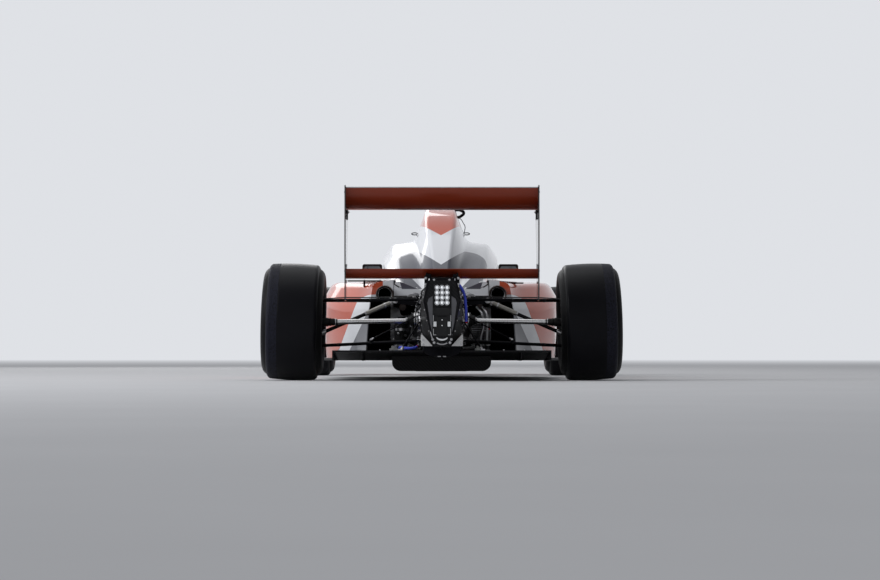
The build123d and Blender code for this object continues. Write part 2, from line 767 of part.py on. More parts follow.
def engine_cover(outer_skin, pods):
    """One piece cover: headrest fairing, airbox with its intake, spine and closed tail."""
    shell = outer_skin - cover_loft(COVER_WALL, 2)
    front = outer_skin & Pos(0, COVER_FRONT_Y - 4, 700) * Box(800, 8, 600)
    intake = outline([(-62, 790), (-44, 916), (44, 916), (62, 790)], [20, 24, 24, 20])
    front -= extrude(station(COVER_FRONT_Y + 20) * intake, amount=60)
    front -= Pos(0, COVER_FRONT_Y, 0) * Box(560, 60, 2 * 652)
    transom = outer_skin & Pos(0, COVER_REAR_Y, 600) * Box(800, 2 * COVER_WALL, 600)
    skin = shell + front + transom
    for pod in pods:
        skin -= pod
    return skin


def pod_section(row, fillets, inset=0.0):
    y, hem_in, hem_out, flank, edge, top_in = row
    points = [hem_in, hem_out, flank, edge, top_in]
    if inset:
        rise = (top_in[1] - edge[1]) / (edge[0] - top_in[0])
        points = [
            (hem_in[0] - 60, hem_in[1] - 30),
            (hem_out[0] - inset, hem_out[1] - 30),
            (flank[0] - inset, flank[1] - inset * 0.2),
            (edge[0] - inset * 0.6, edge[1] - inset),
            (top_in[0] - 60, top_in[1] - inset + 60 * rise),
        ]
    return station(y) * outline(points, fillets)


def pod_loft(inset=0.0, overrun=0.0):
    rows = [list(row) for row in POD_SECTIONS]
    rows[0][0] += overrun
    rows[-1][0] -= overrun
    fillets = [POD_FILLETS] * (len(rows) - 1) + [POD_END_FILLETS]
    return loft([pod_section(row, kinds, inset) for row, kinds in zip(rows, fillets)])


def pod_transom(pod):
    """Panel that closes the right pod's tail above the duct's exit, let out round the exhaust."""
    inner_x = COVER_HEM_X + PIPE_GAP
    room = Box(600, POD_WALL, 300, align=(Align.MIN, Align.MIN, Align.MIN))
    pipe = Pos(EXHAUST_X, POD_REAR_Y, EXHAUST_Z) * Rot(90, 0, 0) * Cylinder(EXHAUST_R + PIPE_GAP, 6 * POD_WALL)
    below = Box(EXHAUST_R + 2 * PIPE_GAP, 6 * POD_WALL, EXHAUST_R, align=(Align.MAX, Align.CENTER, Align.MAX))
    below = Pos(EXHAUST_X, POD_REAR_Y, EXHAUST_Z) * below
    return (pod & Pos(inner_x, POD_REAR_Y, TRANSOM_Z) * room) - pipe - below


def radiator(duct, tub):
    """Core across the right hand duct, leaning outward."""
    core = Pos(430, RADIATOR_Y, 300) * Rot(0, 0, 18) * Box(420, 46, 420)
    return (core & duct & above_deck()) - tub


# Driveline

def engine_block():
    """Inline engine as one plain block, with its lower crankcase and cam cover."""
    side = outline(
        [
            (TUB_REAR_Y, CASE_BASE_Z),
            (TUB_REAR_Y, 540),
            (TUB_REAR_Y - 350, 540),
            (TUB_REAR_Y - 480, 470),
            (ENGINE_REAR_Y, 396),
            (ENGINE_REAR_Y, CASE_BASE_Z),
        ],
        [6, 14, 40, 60, 8, 6],
    )
    block = extrude(side_view(0) * side, amount=118, both=True)
    middle_y = (TUB_REAR_Y + ENGINE_REAR_Y) / 2
    crankcase = Box(310, TUB_REAR_Y - ENGINE_REAR_Y, 200, align=(Align.CENTER, Align.CENTER, Align.MIN))
    return block + Pos(0, middle_y, CASE_BASE_Z) * crankcase


# Columns: station, then corners (x, z) of the right half: sump, side low, side high, top
GEARBOX_SECTIONS = [
    (ENGINE_REAR_Y, (110, CASE_BASE_Z), (150, 180), (140, 330), (96, 396)),
    (REAR_AXLE_Y + 70, (84, 146), (106, 205), (104, 360), (84, 424)),
    (GEARBOX_REAR_Y, (66, 152), (97, 205), (97, 372), (72, 432)),
]
TAIL_SECTIONS = [
    (GEARBOX_REAR_Y, (66, 152), (97, 205), (104, 385), (76, 474)),
    (TAIL_Y + 8, (36, 172), (54, 222), (90, 385), (70, 480)),
]


def bevelled_loft(sections, fillets):
    return loft([whole_section(y, half, fillets) for y, *half in sections], ruled=True)


def case_flange(row, depth):
    """Raised joint flange round the case at one of its sections."""
    y, *half = row
    grown = [(x + FLANGE_RISE, z + (FLANGE_RISE if z > 300 else -FLANGE_RISE)) for x, z in half]
    return extrude(whole_section(y, grown, [20, 30, 24, 16]), amount=depth)


def gearbox_case():
    """Cast case with its joint flanges, final drive bosses, feet and the sockets of both driveshafts."""
    case = bevelled_loft(GEARBOX_SECTIONS, [20, 30, 24, 16])
    front, middle, rear = GEARBOX_SECTIONS
    case += case_flange(front, CASE_FLANGE_T)
    case += case_flange(middle, CASE_FLANGE_T)
    case += case_flange(rear, -CASE_FLANGE_T)
    for side in (-1, 1):
        case += Pos(side * 76, GEARBOX_REAR_Y + 34, 186) * Box(42, 68, 46)
        rib = outline([(ENGINE_REAR_Y - 8, 250), (REAR_AXLE_Y + 78, 250), (REAR_AXLE_Y + 78, 262)], 0)
        case += extrude(side_view(0) * rib, amount=side * 124)
    boss = rod((0, REAR_AXLE_Y, SHAFT_INNER.Z - 3), SHAFT_INNER - shaft_reach() * 2, 52)
    inward, outward = SHAFT_INNER - shaft_reach() * (STUB_L + 2), SHAFT_INNER + shaft_reach() * 20
    socket = rod(inward, outward, STUB_R + PIVOT_GAP)
    case += boss + left_of(boss)
    return case - socket - left_of(socket)


def crash_structure():
    """Carbon tail cone with the recess for the rain light."""
    tail = bevelled_loft(TAIL_SECTIONS, [22, 40, 40, 20])
    return tail - rain_light_block()


def rain_light_block():
    body = Box(LIGHT_W, LIGHT_T, LIGHT_H)
    body = fillet(body.edges().filter_by(Axis.Y), 10)
    return Pos(0, TAIL_Y + LIGHT_T / 2, LIGHT_Z) * body


def exhaust_pipe(block):
    """Right hand tail pipe, open at its rolled tip."""
    start = ENGINE_REAR_Y
    path = [
        (120, start + 240, 380),
        (250, start + 180, 420),
        (EXHAUST_X, start + 70, EXHAUST_Z),
        (EXHAUST_X, EXHAUST_Y, EXHAUST_Z),
    ]
    pipe = bent_tube(path, [60, 90], EXHAUST_R - 4)
    tip = Pos(EXHAUST_X, EXHAUST_Y + 30, EXHAUST_Z) * Rot(90, 0, 0) * Cylinder(EXHAUST_R, 60)
    bore = Cylinder(EXHAUST_R - EXHAUST_WALL, 90)
    bore = Pos(EXHAUST_X, EXHAUST_Y + 35, EXHAUST_Z) * Rot(90, 0, 0) * bore
    return pipe + tip - bore - block


# Wings

def wing_profile(lead, trail, sag, thick):
    """Cambered wing section from its leading and trailing edge, convex underneath."""
    lead, trail = Vector(*lead), Vector(*trail)
    along = (trail - lead).normalized()
    up = Vector(-along.Y, along.X) if along.X > 0 else Vector(along.Y, -along.X)
    middle = lead + (trail - lead) * 0.42
    body = (
        ThreePointArc(lead - up * thick * 0.35, middle - up * (sag + thick / 2), trail - up * 1.5)
        + Line(trail - up * 1.5, trail + up * 1.5)
        + ThreePointArc(trail + up * 1.5, middle - up * (sag - thick / 2), lead + up * thick * 0.35)
        + ThreePointArc(lead + up * thick * 0.35, lead - along * thick * 0.4, lead - up * thick * 0.35)
    )
    return make_face(body)


# Columns: leading edge (y, z), trailing edge (y, z), sag, thickness
UPPER_ELEMENTS = [
    ((WING_REAR_Y + 268, WING_TOP_Z - 84), (WING_REAR_Y + 112, WING_TOP_Z - 84), 15, 16),
    ((WING_REAR_Y + 126, WING_TOP_Z - 99), (WING_REAR_Y + 6, WING_TOP_Z - 9), 13, 9),
]
BEAM_ELEMENT = ((WING_REAR_Y + 142, BEAM_Z - 12), (WING_REAR_Y + 22, BEAM_Z + 25), 12, 13)


def wing_span(element):
    half = WING_HALF_SPAN - ENDPLATE_T
    return extrude(side_view(0) * wing_profile(*element), amount=half, both=True)


def rear_wing_upper():
    """Main plane and steep flap, both spanning from endplate to endplate."""
    elements = [wing_span(element) for element in UPPER_ELEMENTS]
    return Compound([solid for element in elements for solid in element.solids()])


def rear_endplate():
    plate = outline(
        [
            (WING_REAR_Y - 16, WING_TOP_Z),
            (WING_REAR_Y - 16, 640),
            (WING_REAR_Y + 4, WING_BOTTOM_Z),
            (WING_REAR_Y + 160, WING_BOTTOM_Z),
            (WING_REAR_Y + 210, 600),
            (WING_REAR_Y + 294, 760),
            (WING_REAR_Y + 294, WING_TOP_Z),
        ],
        [8, 120, 10, 40, 120, 60, 30],
    )
    return extrude(side_view(WING_HALF_SPAN - ENDPLATE_T) * plate, amount=ENDPLATE_T)


def beam_bracket(tail, beam):
    """Upright web and rear flange that carry the beam wing on the tail."""
    web = Pos(74, WING_REAR_Y + 70, BEAM_Z - 63) * Box(6, 100, 140)
    flange = Pos(74, WING_REAR_Y + 23, BEAM_Z - 65) * Box(20, 6, 118)
    return web + flange - tail - beam


# Columns: leading edge (y, z), trailing edge (y, z), sag, thickness
FRONT_MAIN = ((FRONT_Y - 34, 118), (FRONT_Y - 232, 128), 10, 15)
FRONT_FLAPS = [
    ((FRONT_Y - 220, 142), (FRONT_Y - 320, 176), 8, 8),
    ((FRONT_Y - 310, 186), (FRONT_Y - 384, 232), 7, 7),
]


def front_wing_main(nose):
    """Main plane with the two pylons under the nose."""
    half = FRONT_WING_HALF - ENDPLATE_T
    plane = extrude(side_view(0) * wing_profile(*FRONT_MAIN), amount=half, both=True)
    corners = [(FRONT_Y - 140, 112), (FRONT_Y - 128, 260), (FRONT_Y - 250, 260), (FRONT_Y - 220, 118)]
    pylon = outline(corners, 6)
    for side in (-1, 1):
        plane += extrude(side_view(side * 34 - 4) * pylon, amount=8) - nose
    return plane


def front_flap(element):
    reach = FRONT_WING_HALF - ENDPLATE_T - FLAP_INNER
    return extrude(side_view(FLAP_INNER) * wing_profile(*element), amount=reach)


def flap_hanger():
    """Small plate at the inner ends of both flaps, standing on the main plane."""
    plate = outline(
        [
            (FRONT_Y - 198, 124),
            (FRONT_Y - 210, 170),
            (FRONT_Y - 300, 214),
            (FRONT_Y - 388, 244),
            (FRONT_Y - 394, 226),
            (FRONT_Y - 320, 166),
            (FRONT_Y - 234, 120),
        ],
        [6, 20, 20, 4, 4, 20, 6],
    )
    return extrude(side_view(FLAP_INNER - 5) * plate, amount=5)


def front_flaps(plane):
    pieces = flap_hanger() - plane
    for element in FRONT_FLAPS:
        pieces += front_flap(element)
    return pair(pieces)


def front_endplate():
    plate = outline(
        [
            (FRONT_Y, 100),
            (FRONT_Y, 190),
            (FRONT_Y - 90, 262),
            (FRONT_Y - 400, 262),
            (FRONT_Y - 400, 112),
            (FRONT_Y - 360, 100),
        ],
        [20, 60, 60, 10, 10, 10],
    )
    return extrude(side_view(FRONT_WING_HALF - ENDPLATE_T) * plate, amount=ENDPLATE_T)


# Small parts on the body

def mirror_housing(tub):
    """Right hand mirror: shell open to the rear over the glass, on its stalk."""
    shell = Pos(MIRROR_X, MIRROR_Y, MIRROR_Z) * Box(112, 58, 52)
    shell = fillet(shell.edges().filter_by(Axis.Y), 12)
    shell -= Pos(MIRROR_X, MIRROR_Y - 28, MIRROR_Z) * Box(98, 8, 38)
    stalk = rod((MIRROR_X - 25, MIRROR_Y + 6, MIRROR_Z - 10), (200, MIRROR_Y + 26, 556), 6)
    return shell + (stalk - tub)


def release_pulls(cover):
    """Release rings beside the airbox; the right one with its cable and the lifting strap above."""
    ring_x, ring_z = 143, 790
    ring = Pos(ring_x, PULL_Y, ring_z) * Rot(24, 0, 0) * Torus(16, 2.5)
    stem = rod((ring_x - 16, PULL_Y, ring_z), (90, PULL_Y, ring_z + 2), 4)
    left = left_of(ring + stem) - cover
    cable = bent_tube(
        [(78, PULL_Y, 884), (112, PULL_Y, 872), (136, PULL_Y, 830), (130, PULL_Y, 793)],
        [24, 24],
        2,
    )
    strap = bent_tube(
        [(60, PULL_Y, 876), (104, PULL_Y, 882), (138, PULL_Y, 906), (104, PULL_Y, 922), (54, PULL_Y, 920)],
        [30, 11, 30],
        8,
    )
    right = ring + stem + cable + strap - cover
    return Compound([*keep_outside(right), *keep_outside(left)])


def keep_outside(shape):
    """Solids of a trimmed fitting that lie outside the skin."""
    return [solid for solid in shape.solids() if abs(solid.center().X) > 84]


def tow_eye(eye):
    """Flat forged eye, front on the nose root and rear under the tail."""
    y, low, high, hole_z = eye
    plate = outline([(y - 34, low), (y - 34, high), (y + 34, high), (y + 34, low)], 30)
    plate = extrude(side_view(-EYE_PLATE_T / 2) * plate, amount=EYE_PLATE_T)
    return plate - Pos(0, y, hole_z) * Rot(0, 90, 0) * Cylinder(TOW_R, 4 * EYE_PLATE_T)


# Steering

def steering_rack():
    """Rack bar with both track rods and their outer eyes, all on one line across the car."""
    eye = steering_eye()
    bar = rod((-RACK_HALF, eye.Y, RACK_Z), (RACK_HALF, eye.Y, RACK_Z), RACK_R)
    rod_right = rod((RACK_HALF - 2, eye.Y, RACK_Z), (eye.X - EYE_HOLE_R - 3, eye.Y, RACK_Z), 7)
    bellows = rod((RACK_HALF - 30, eye.Y, RACK_Z), (RACK_HALF + 22, eye.Y, RACK_Z), RACK_R - 1)
    ring = Pos(eye.X, eye.Y, RACK_Z) * Cylinder(EYE_HOLE_R + 6, EYE_T)
    hole = Pos(eye.X, eye.Y, RACK_Z) * Cylinder(EYE_HOLE_R, EYE_T + 4)
    end = rod_right + bellows + ring - hole
    return bar + end + left_of(end)


def steering_wheel():
    """Cut-off wheel with two hand openings on its column."""
    half = [(60, -90), (132, -70), (132, 62), (70, 84)]
    corners = half + [(-x, y) for x, y in reversed(half)]
    grip = outline(corners, [30, 34, 34, 20, 20, 34, 34, 30])
    for side in (-1, 1):
        grip -= Pos(side * 88, 2) * RectangleRounded(44, 96, 18)
    wheel = extrude(column_plane(column_length()) * grip, amount=26)
    column = rod(COLUMN_LOW, COLUMN_HIGH, COLUMN_R)
    hub = column_plane(column_length() - 34) * upright_cylinder(30, 34)
    return wheel + column + hub


def column_length():
    return (COLUMN_HIGH - COLUMN_LOW).length


def save(name, shape):
    solids = shape.solids()
    export_step(Compound(solids) if len(solids) > 1 else solids[0], f"parts/{name}.step")


def build():
    os.makedirs("parts", exist_ok=True)
    outer = tub_outer()
    tub = monocoque(outer, tub_cavity())
    nose = nose_cone()
    hoop = roll_hoop() - outer
    save("monocoque", Compound([*tub.solids(), *hoop.solids()]))
    save("nose_cone", nose)
    save("head_surround", head_surround(outer))
    save("seat", seat(tub))
    save("floor_panel", floor_panel())
    save("plank", plank())
    save("diffuser", diffuser())

    pod_solid = pod_loft() & above_deck()
    duct = pod_loft(POD_WALL, 2)
    skin = pod_solid - duct - outer + pod_transom(pod_solid)
    cover_skin = cover_loft()
    cover = engine_cover(cover_skin, [pod_solid, left_of(pod_solid)])
    save("sidepod_right", skin)
    save("sidepod_left", left_of(skin))
    save("engine_cover", cover)
    save("radiators", pair(radiator(duct, outer)))

    block = engine_block()
    case = gearbox_case()
    tail = crash_structure()
    save("engine_block", block)
    save("gearbox_case", case)
    save("crash_structure", tail)
    save("rain_light", rain_light_block())
    save("exhaust_pipes", pair(exhaust_pipe(block)))

    beam = wing_span(BEAM_ELEMENT)
    save("rear_wing_upper", rear_wing_upper())
    save("rear_wing_endplates", pair(rear_endplate()))
    save("beam_wing", beam)
    save("beam_wing_brackets", pair(beam_bracket(tail, beam)))
    plane = front_wing_main(nose)
    save("front_wing_main", plane)
    save("front_wing_flaps", front_flaps(plane))
    save("front_wing_endplates", pair(front_endplate()))

    save("mirrors", pair(mirror_housing(outer)))
    save("release_pulls", release_pulls(cover_skin))
    front_eye = tow_eye(FRONT_EYE) - nose - outer
    rear_eye = tow_eye(REAR_EYE) - tail
    save("tow_eyes", Compound([*front_eye.solids(), *rear_eye.solids()]))

    knuckle = front_upright()
    carrier_rear = rear_upright()
    front_arms = [front_arm(*row[1:]) - outer - nose for row in FRONT_ARMS]
    rear_arms = [rear_arm(*row[1:]) - carrier_rear - case for row in REAR_ARMS]
    save("front_wishbones", pair(Compound([s for arm in front_arms for s in arm.solids()])))
    save("rear_wishbones", pair(Compound([s for arm in rear_arms for s in arm.solids()])))
    rear_rod = rear_pushrod() - rear_rocker() - carrier_rear
    front_rod = front_pushrod() - outer - front_arms[1]
    save("pushrods", pair(Compound([*rear_rod.solids(), *front_rod.solids()])))
    save("rear_rockers", pair(rear_rocker() - case))
    save("rear_uprights", pair(carrier_rear))

    save("steering_rack", steering_rack())
    save("steering_wheel", steering_wheel())
    shaft = driveshaft()
    for side, place in (("right", lambda shape: shape), ("left", left_of)):
        save(f"front_upright_{side}", place(knuckle))
        save(f"driveshaft_{side}", place(shaft))
    for end, axle in AXLES.items():
        rubber = hub_plane(axle) * tyre(axle)
        wheel = hub_plane(axle) * rim(axle)
        for side, place in (("right", lambda shape: shape), ("left", left_of)):
            save(f"tyre_{end}_{side}", place(rubber))
            save(f"wheel_{end}_{side}", place(wheel))


build()
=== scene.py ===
from math import cos, exp, pi, radians, sin

import bmesh
import bpy
from mathutils import Euler, Matrix, Vector
from mathutils.bvhtree import BVHTree


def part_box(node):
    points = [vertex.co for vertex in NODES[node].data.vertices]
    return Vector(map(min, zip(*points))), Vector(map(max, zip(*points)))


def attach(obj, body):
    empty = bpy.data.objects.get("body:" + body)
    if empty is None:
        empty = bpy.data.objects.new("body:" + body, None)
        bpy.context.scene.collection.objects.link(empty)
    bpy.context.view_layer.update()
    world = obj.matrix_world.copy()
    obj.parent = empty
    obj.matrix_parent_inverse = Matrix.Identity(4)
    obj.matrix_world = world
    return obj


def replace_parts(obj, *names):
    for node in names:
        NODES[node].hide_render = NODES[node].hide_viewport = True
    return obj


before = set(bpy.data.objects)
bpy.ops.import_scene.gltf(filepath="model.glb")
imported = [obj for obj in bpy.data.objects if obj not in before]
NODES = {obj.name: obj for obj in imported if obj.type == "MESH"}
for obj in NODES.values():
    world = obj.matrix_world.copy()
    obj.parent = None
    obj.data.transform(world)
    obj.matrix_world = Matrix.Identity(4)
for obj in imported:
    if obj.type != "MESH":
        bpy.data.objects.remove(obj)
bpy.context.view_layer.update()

# The nose points to +Y and the driver's right is +X. Places are in metres. The sizes of boxes,
# plates, turned profiles, tubes and fasteners are in millimetres.
MM = 0.001
BOTH = (1, -1)
SIDES = {"right": 1, "left": -1}

# Stations along the car
REAR_AXLE = -1.45
TAIL = -2.1
GEARBOX_REAR = -1.72

# Wheels: place of the middle, camber in degrees, tyre radius, tread width and rim width
AXLES = {
    "front": dict(x=0.75, y=1.2, z=0.2716, camber=2.0, radius=0.271, tread=0.184, rim=0.203),
    "rear": dict(x=0.737, y=REAR_AXLE, z=0.2914, camber=1.7, radius=0.291, tread=0.25, rim=0.254),
}
DISC_SHARE = 0.14  # how far inboard of the wheel's middle the brake disc is, as a share of the rim
PIPE_X, PIPE_Z, PIPE_END = 0.29, 0.436, -1.15
FRONT_ROD = ((0.598, 1.196, 0.172), (0.12, 1.22, 0.462))

ORANGE = (0.6, 0.07, 0.012)
# Darker copy of ORANGE for the rear wings: painted shade on their rear faces.
WING_ORANGE_IN_SHADE = (0.27, 0.032, 0.007)
WHITE = (0.8, 0.81, 0.84)
HIP_GREY = (0.06, 0.063, 0.088)
BLACK = (0.006, 0.006, 0.007)
SKY = (0.84, 0.86, 0.9)

SHARP_EDGE = 38  # degrees from which an edge is shaded as a crease
CAMERA_BACK = 12.0  # metres behind the rear axle
CAMERA_PITCH, CAMERA_TURN = 1.516, -0.203  # degrees up and to the right
FLOOR_RINGS = (5.0, 15.0, 40.0, 160.0)
FADE_MIDDLE, FADE_WIDTH = 24.0, 30.0  # where the floor turns into sky, in metres from the car

# Strength of the sky ahead and to the left, and its shares to the right, behind and overhead
SKY_STRENGTH, SKY_RIGHT, SKY_BEHIND, SKY_TOP = 0.88, 0.38, 0.62, 0.6


# Materials

class Number:
    """A value worked out by a material's nodes."""

    def __init__(self, graph, socket):
        self.graph, self.socket = graph, socket

    def calc(self, operation, other=0.0):
        return self.graph.calc(operation, self, other)

    def __add__(self, other):
        return self.calc("ADD", other)

    def __sub__(self, other):
        return self.calc("SUBTRACT", other)

    def __rsub__(self, other):
        return self.graph.calc("SUBTRACT", other, self)

    def __mul__(self, other):
        return self.calc("MULTIPLY", other)

    def __truediv__(self, other):
        return self.calc("DIVIDE", other)

    def __abs__(self):
        return self.calc("ABSOLUTE")

    def either(self, other):
        return self.calc("MAXIMUM", other)

    def root(self):
        return self.calc("SQRT")

    def floor(self):
        return self.calc("FLOOR")

    def wave(self, pitch):
        """Ripple from 0 to 1 and back once every pitch."""
        return (self * (2 * pi / pitch)).calc("SINE") * 0.5 + 0.5

    def over(self, edge, soft=0.0006):
        """1 above the edge and 0 below, over a soft width."""
        return ((self - edge) * (1.0 / soft) + 0.5).calc("MINIMUM", 1.0).either(0.0)

    def under(self, edge, soft=0.0006):
        return 1.0 - self.over(edge, soft)

    def between(self, low, high):
        """Low where this is 0 and high where it is 1."""
        return self * (high - low) + low


class Graph:
    """Node graph of one procedural material over the object's own coordinates."""

    INPUTS = {
        "colour": "Base Color",
        "metal": "Metallic",
        "rough": "Roughness",
        "coat": "Coat Weight",
        "coat_rough": "Coat Roughness",
        "specular": "Specular IOR Level",
        "sheen": "Sheen Weight",
        "glow": "Emission Strength",
        "glow_colour": "Emission Color",
    }

    def __init__(self, name, **values):
        self.material = bpy.data.materials.new(name)
        self.material.use_nodes = True
        self.tree = self.material.node_tree
        self.shader = self.tree.nodes["Principled BSDF"]
        self.feed(**values)
        coordinates = self.add("ShaderNodeTexCoord")
        self.place = coordinates.outputs["Object"]
        self.facing = coordinates.outputs["Normal"]
        self.x, self.y, self.z = self.split(self.place)

    def add(self, kind, **values):
        """New node with its settings, then its inputs, whose names start with a capital."""
        node = self.tree.nodes.new(kind)
        for key, value in values.items():
            if key[0].isupper():
                self.plug(node.inputs[key], value)
            else:
                setattr(node, key, value)
        return node

    def plug(self, socket, value):
        """Link a socket, or set its own number or opaque colour."""
        if isinstance(value, Number):
            value = value.socket
        if isinstance(value, bpy.types.NodeSocket):
            self.tree.links.new(value, socket)
        else:
            socket.default_value = (*value, 1.0) if isinstance(value, tuple) else value

    def split(self, socket):
        """The three parts of a vector."""
        node = self.add("ShaderNodeSeparateXYZ", Vector=socket)
        return [Number(self, part) for part in node.outputs]

    def calc(self, operation, first, second):
        node = self.add("ShaderNodeMath", operation=operation)
        for socket, value in zip(node.inputs, (first, second)):
            self.plug(socket, value)
        return Number(self, node.outputs[0])

    def noise(self, scale, detail=2.0, stretch=(1, 1, 1), rough=0.5):
        mapping = self.add("ShaderNodeMapping", Vector=self.place)
        mapping.inputs["Scale"].default_value = stretch
        node = self.add("ShaderNodeTexNoise", Vector=mapping.outputs[0], Scale=scale)
        self.plug(node.inputs["Detail"], detail)
        self.plug(node.inputs["Roughness"], rough)
        return Number(self, node.outputs["Fac"])

    def cells(self, scale):
        node = self.add("ShaderNodeTexVoronoi", Vector=self.place, Scale=scale)
        return Number(self, node.outputs["Distance"])

    def layers(self, colour, *above):
        """Colour with others laid over it in turn, each where its mask is 1."""
        for mask, over in above:
            node = self.add("ShaderNodeMix", data_type="RGBA", Factor=mask, A=colour, B=over)
            colour = node.outputs["Result"]
        return colour

    def feed(self, **sockets):
        for key, value in sockets.items():
            self.plug(self.shader.inputs[self.INPUTS[key]], value)

    def surface(self, colour, rough, *bumps):
        """Colour, roughness, and bumps one over another: each a height, distance and strength."""
        self.feed(colour=colour, rough=rough)
        normal = self.shader.inputs["Normal"]
        for height, distance, strength in bumps:
            node = self.add("ShaderNodeBump", Height=height, Distance=distance, Strength=strength)
            if normal.is_linked:
                self.plug(node.inputs["Normal"], normal.links[0].from_socket)
            self.plug(normal, node.outputs[0])
        return self


class Dome(Graph):
    """Node graph over the directions of the world."""

    def __init__(self, tree):
        self.tree = tree
        self.x, self.y, self.z = self.split(self.add("ShaderNodeTexCoord").outputs["Generated"])


def tone(tint, factor, lift=0.0):
    """A colour made lighter or darker."""
    return tuple(min(1.0, c * factor + lift) for c in tint)


def worn(graph, base, dirt, amount):
    """Base colour with a thin uneven film of road dirt, heavier low down."""
    low = graph.z.under(0.12, 0.3)
    film = graph.noise(9.0, 5.0, rough=0.65) * (low * 0.7 + 0.3) * amount
    return graph.layers(base, (film, dirt))


def paint(name, colour, metal=0.35, rough=0.32, coat=1.0):
    """Glossy lacquered body colour: fine flake below a clear coat, a trace of orange peel."""
    graph = Graph(name, metal=metal, coat=coat, coat_rough=0.035)
    base = colour(graph) if callable(colour) else colour
    flake = graph.cells(2400.0).between(rough - 0.05, rough + 0.12)
    peel = graph.noise(260.0, 1.0)
    return graph.surface(worn(graph, base, (0.1, 0.09, 0.08), 0.1), flake, (peel, 0.00006, 0.35))


def carbon(name, rough=0.3, coat=0.5, specular=0.35, pitch=0.0042):
    """Twill laminate under resin, its weave laid in the plane that each face is nearest to."""
    graph = Graph(name, coat=coat, coat_rough=0.09, specular=specular)
    normal = graph.split(graph.facing)
    flank, flat = (abs(normal[axis]).over(0.7, 0.01) for axis in (0, 2))
    u = graph.x * (1.0 - flank) + graph.y * flank
    v = graph.z * (1.0 - flat) + graph.y * flat
    warp = ((u / pitch).floor() + (v / pitch).floor()).calc("FLOORED_MODULO", 4.0).over(1.5, 0.1)
    tint = (0.0034, 0.0034, 0.004)
    weave = graph.layers(tint, (warp, tone(tint, 3.2)))
    colour = worn(graph, weave, (0.03, 0.028, 0.026), 0.18)
    return graph.surface(colour, warp.between(rough, rough + 0.16), (warp, 0.00018, 0.35))


def metal(name, tint, rough=0.3, grain=(1, 1, 1), scale=160.0, depth=0.00012, stain=0.35):
    """Bare or plated metal with tool grain and stains."""
    graph = Graph(name, metal=1.0)
    grime = graph.noise(22.0, 5.0, rough=0.6).over(0.55, 0.35) * stain
    lines = graph.noise(scale, 3.0, grain)
    colour = graph.layers(tint, (grime, tone(tint, 0.45)))
    return graph.surface(colour, lines.between(rough - 0.08, rough + 0.2), (lines, depth, 0.5))


def plastic(name, tint, rough=0.45, scale=900.0, depth=0.00008):
    """Moulded plastic or lacquer with a fine grain and rubbed patches."""
    graph = Graph(name, specular=0.28)
    grain = graph.noise(scale, 2.0)
    rubbed = graph.noise(14.0, 4.0).over(0.6, 0.4) * 0.35
    colour = graph.layers(tint, (rubbed, tone(tint, 2.2, 0.01)))
    return graph.surface(colour, grain.between(rough - 0.07, rough + 0.12), (grain, depth, 0.5))


def braided(name, tint, pitch=0.0016, rough=0.42):
    """Hose or webbing of fine crossing threads."""
    graph = Graph(name, specular=0.4, sheen=0.15)
    diagonals = (graph.x + graph.z + graph.y, graph.x - graph.z + graph.y)
    one, other = ((d * (6.283 / pitch)).calc("SINE") for d in diagonals)
    weave = one * other * 0.5 + 0.5
    colour = graph.layers(tint, (weave, tone(tint, 1.7, 0.004)))
    return graph.surface(colour, weave.between(rough, rough + 0.2), (weave, 0.0003, 0.5))


def lamp_glass(name):
    """Clear pale lens with a faint inner glow and a moulded ripple."""
    graph = Graph(name, specular=0.6, coat=1.0, coat_rough=0.03, glow=0.62)
    ripple = graph.cells(420.0)
    tint = graph.layers((0.8, 0.82, 0.84), (ripple, (0.55, 0.57, 0.6)))
    graph.feed(glow_colour=tint)
    return graph.surface(tint, ripple.between(0.08, 0.22), (ripple, 0.0003, 0.5))


def mirror_glass(name):
    """Dark silvered glass with faint smears."""
    graph = Graph(name, metal=1.0, coat=1.0, coat_rough=0.02)
    smear = graph.noise(30.0, 4.0).over(0.5, 0.5)
    tint = graph.layers((0.1, 0.11, 0.12), (smear, (0.16, 0.17, 0.18)))
    return graph.surface(tint, smear.between(0.03, 0.12))


def wheel_position(graph, axle, side):
    """Distance from the hub's axis and along it, over the object's own coordinates."""
    tilt = radians(axle["camber"])
    outward = graph.x * side - axle["x"]
    rise = graph.z - axle["z"]
    across = outward * cos(tilt) + rise * sin(tilt)
    up = rise * cos(tilt) - outward * sin(tilt)
    reach = graph.y - axle["y"]
    return (up * up + reach * reach).root(), across


def rubber(name, axle, side):
    """Worn slick: smooth middle tinted blue as painted sky sheen, pitted outer band with its edge
    line, ribbed side walls.
    """
    graph = Graph(name, specular=0.12, sheen=0.04)
    radius, across = wheel_position(graph, axle, side)
    wall = radius.under(axle["radius"] - 0.017, 0.004)
    edge = axle["tread"] * 0.27
    band = across.over(edge, 0.001) * (1.0 - wall)
    line = across.over(edge - 0.0012, 0.0008) * across.under(edge + 0.0012, 0.0008) * (1.0 - wall)
    pits, fine = graph.cells(230.0), graph.noise(620.0, 4.0)
    # The blue tint of the rubber, its mottling and its pitted band is painted sky sheen; the band's
    # lighter grey is also real grained rubber.
    colour = graph.layers(
        (0.0028, 0.0028, 0.0042),
        (graph.noise(7.0, 4.0).over(0.5, 0.5) * 0.6, (0.0052, 0.0053, 0.008)),
        (band * pits.under(0.55, 0.5), (0.017, 0.018, 0.031)),
        (wall, (0.004, 0.004, 0.0046)),
        (line, (0.002, 0.002, 0.002)),
    )
    rough = band.between(0.3, 0.52) + fine * 0.12 + wall * 0.12
    ribs = radius.wave(0.0046) * wall * radius.over(0.205, 0.002) * radius.under(0.238, 0.002)
    bumps = ((fine, 0.0002, 0.4), (pits * band, 0.0011, 0.7), (ribs - line * 1.2, 0.0007, 0.6))
    return graph.surface(colour, rough, *bumps)


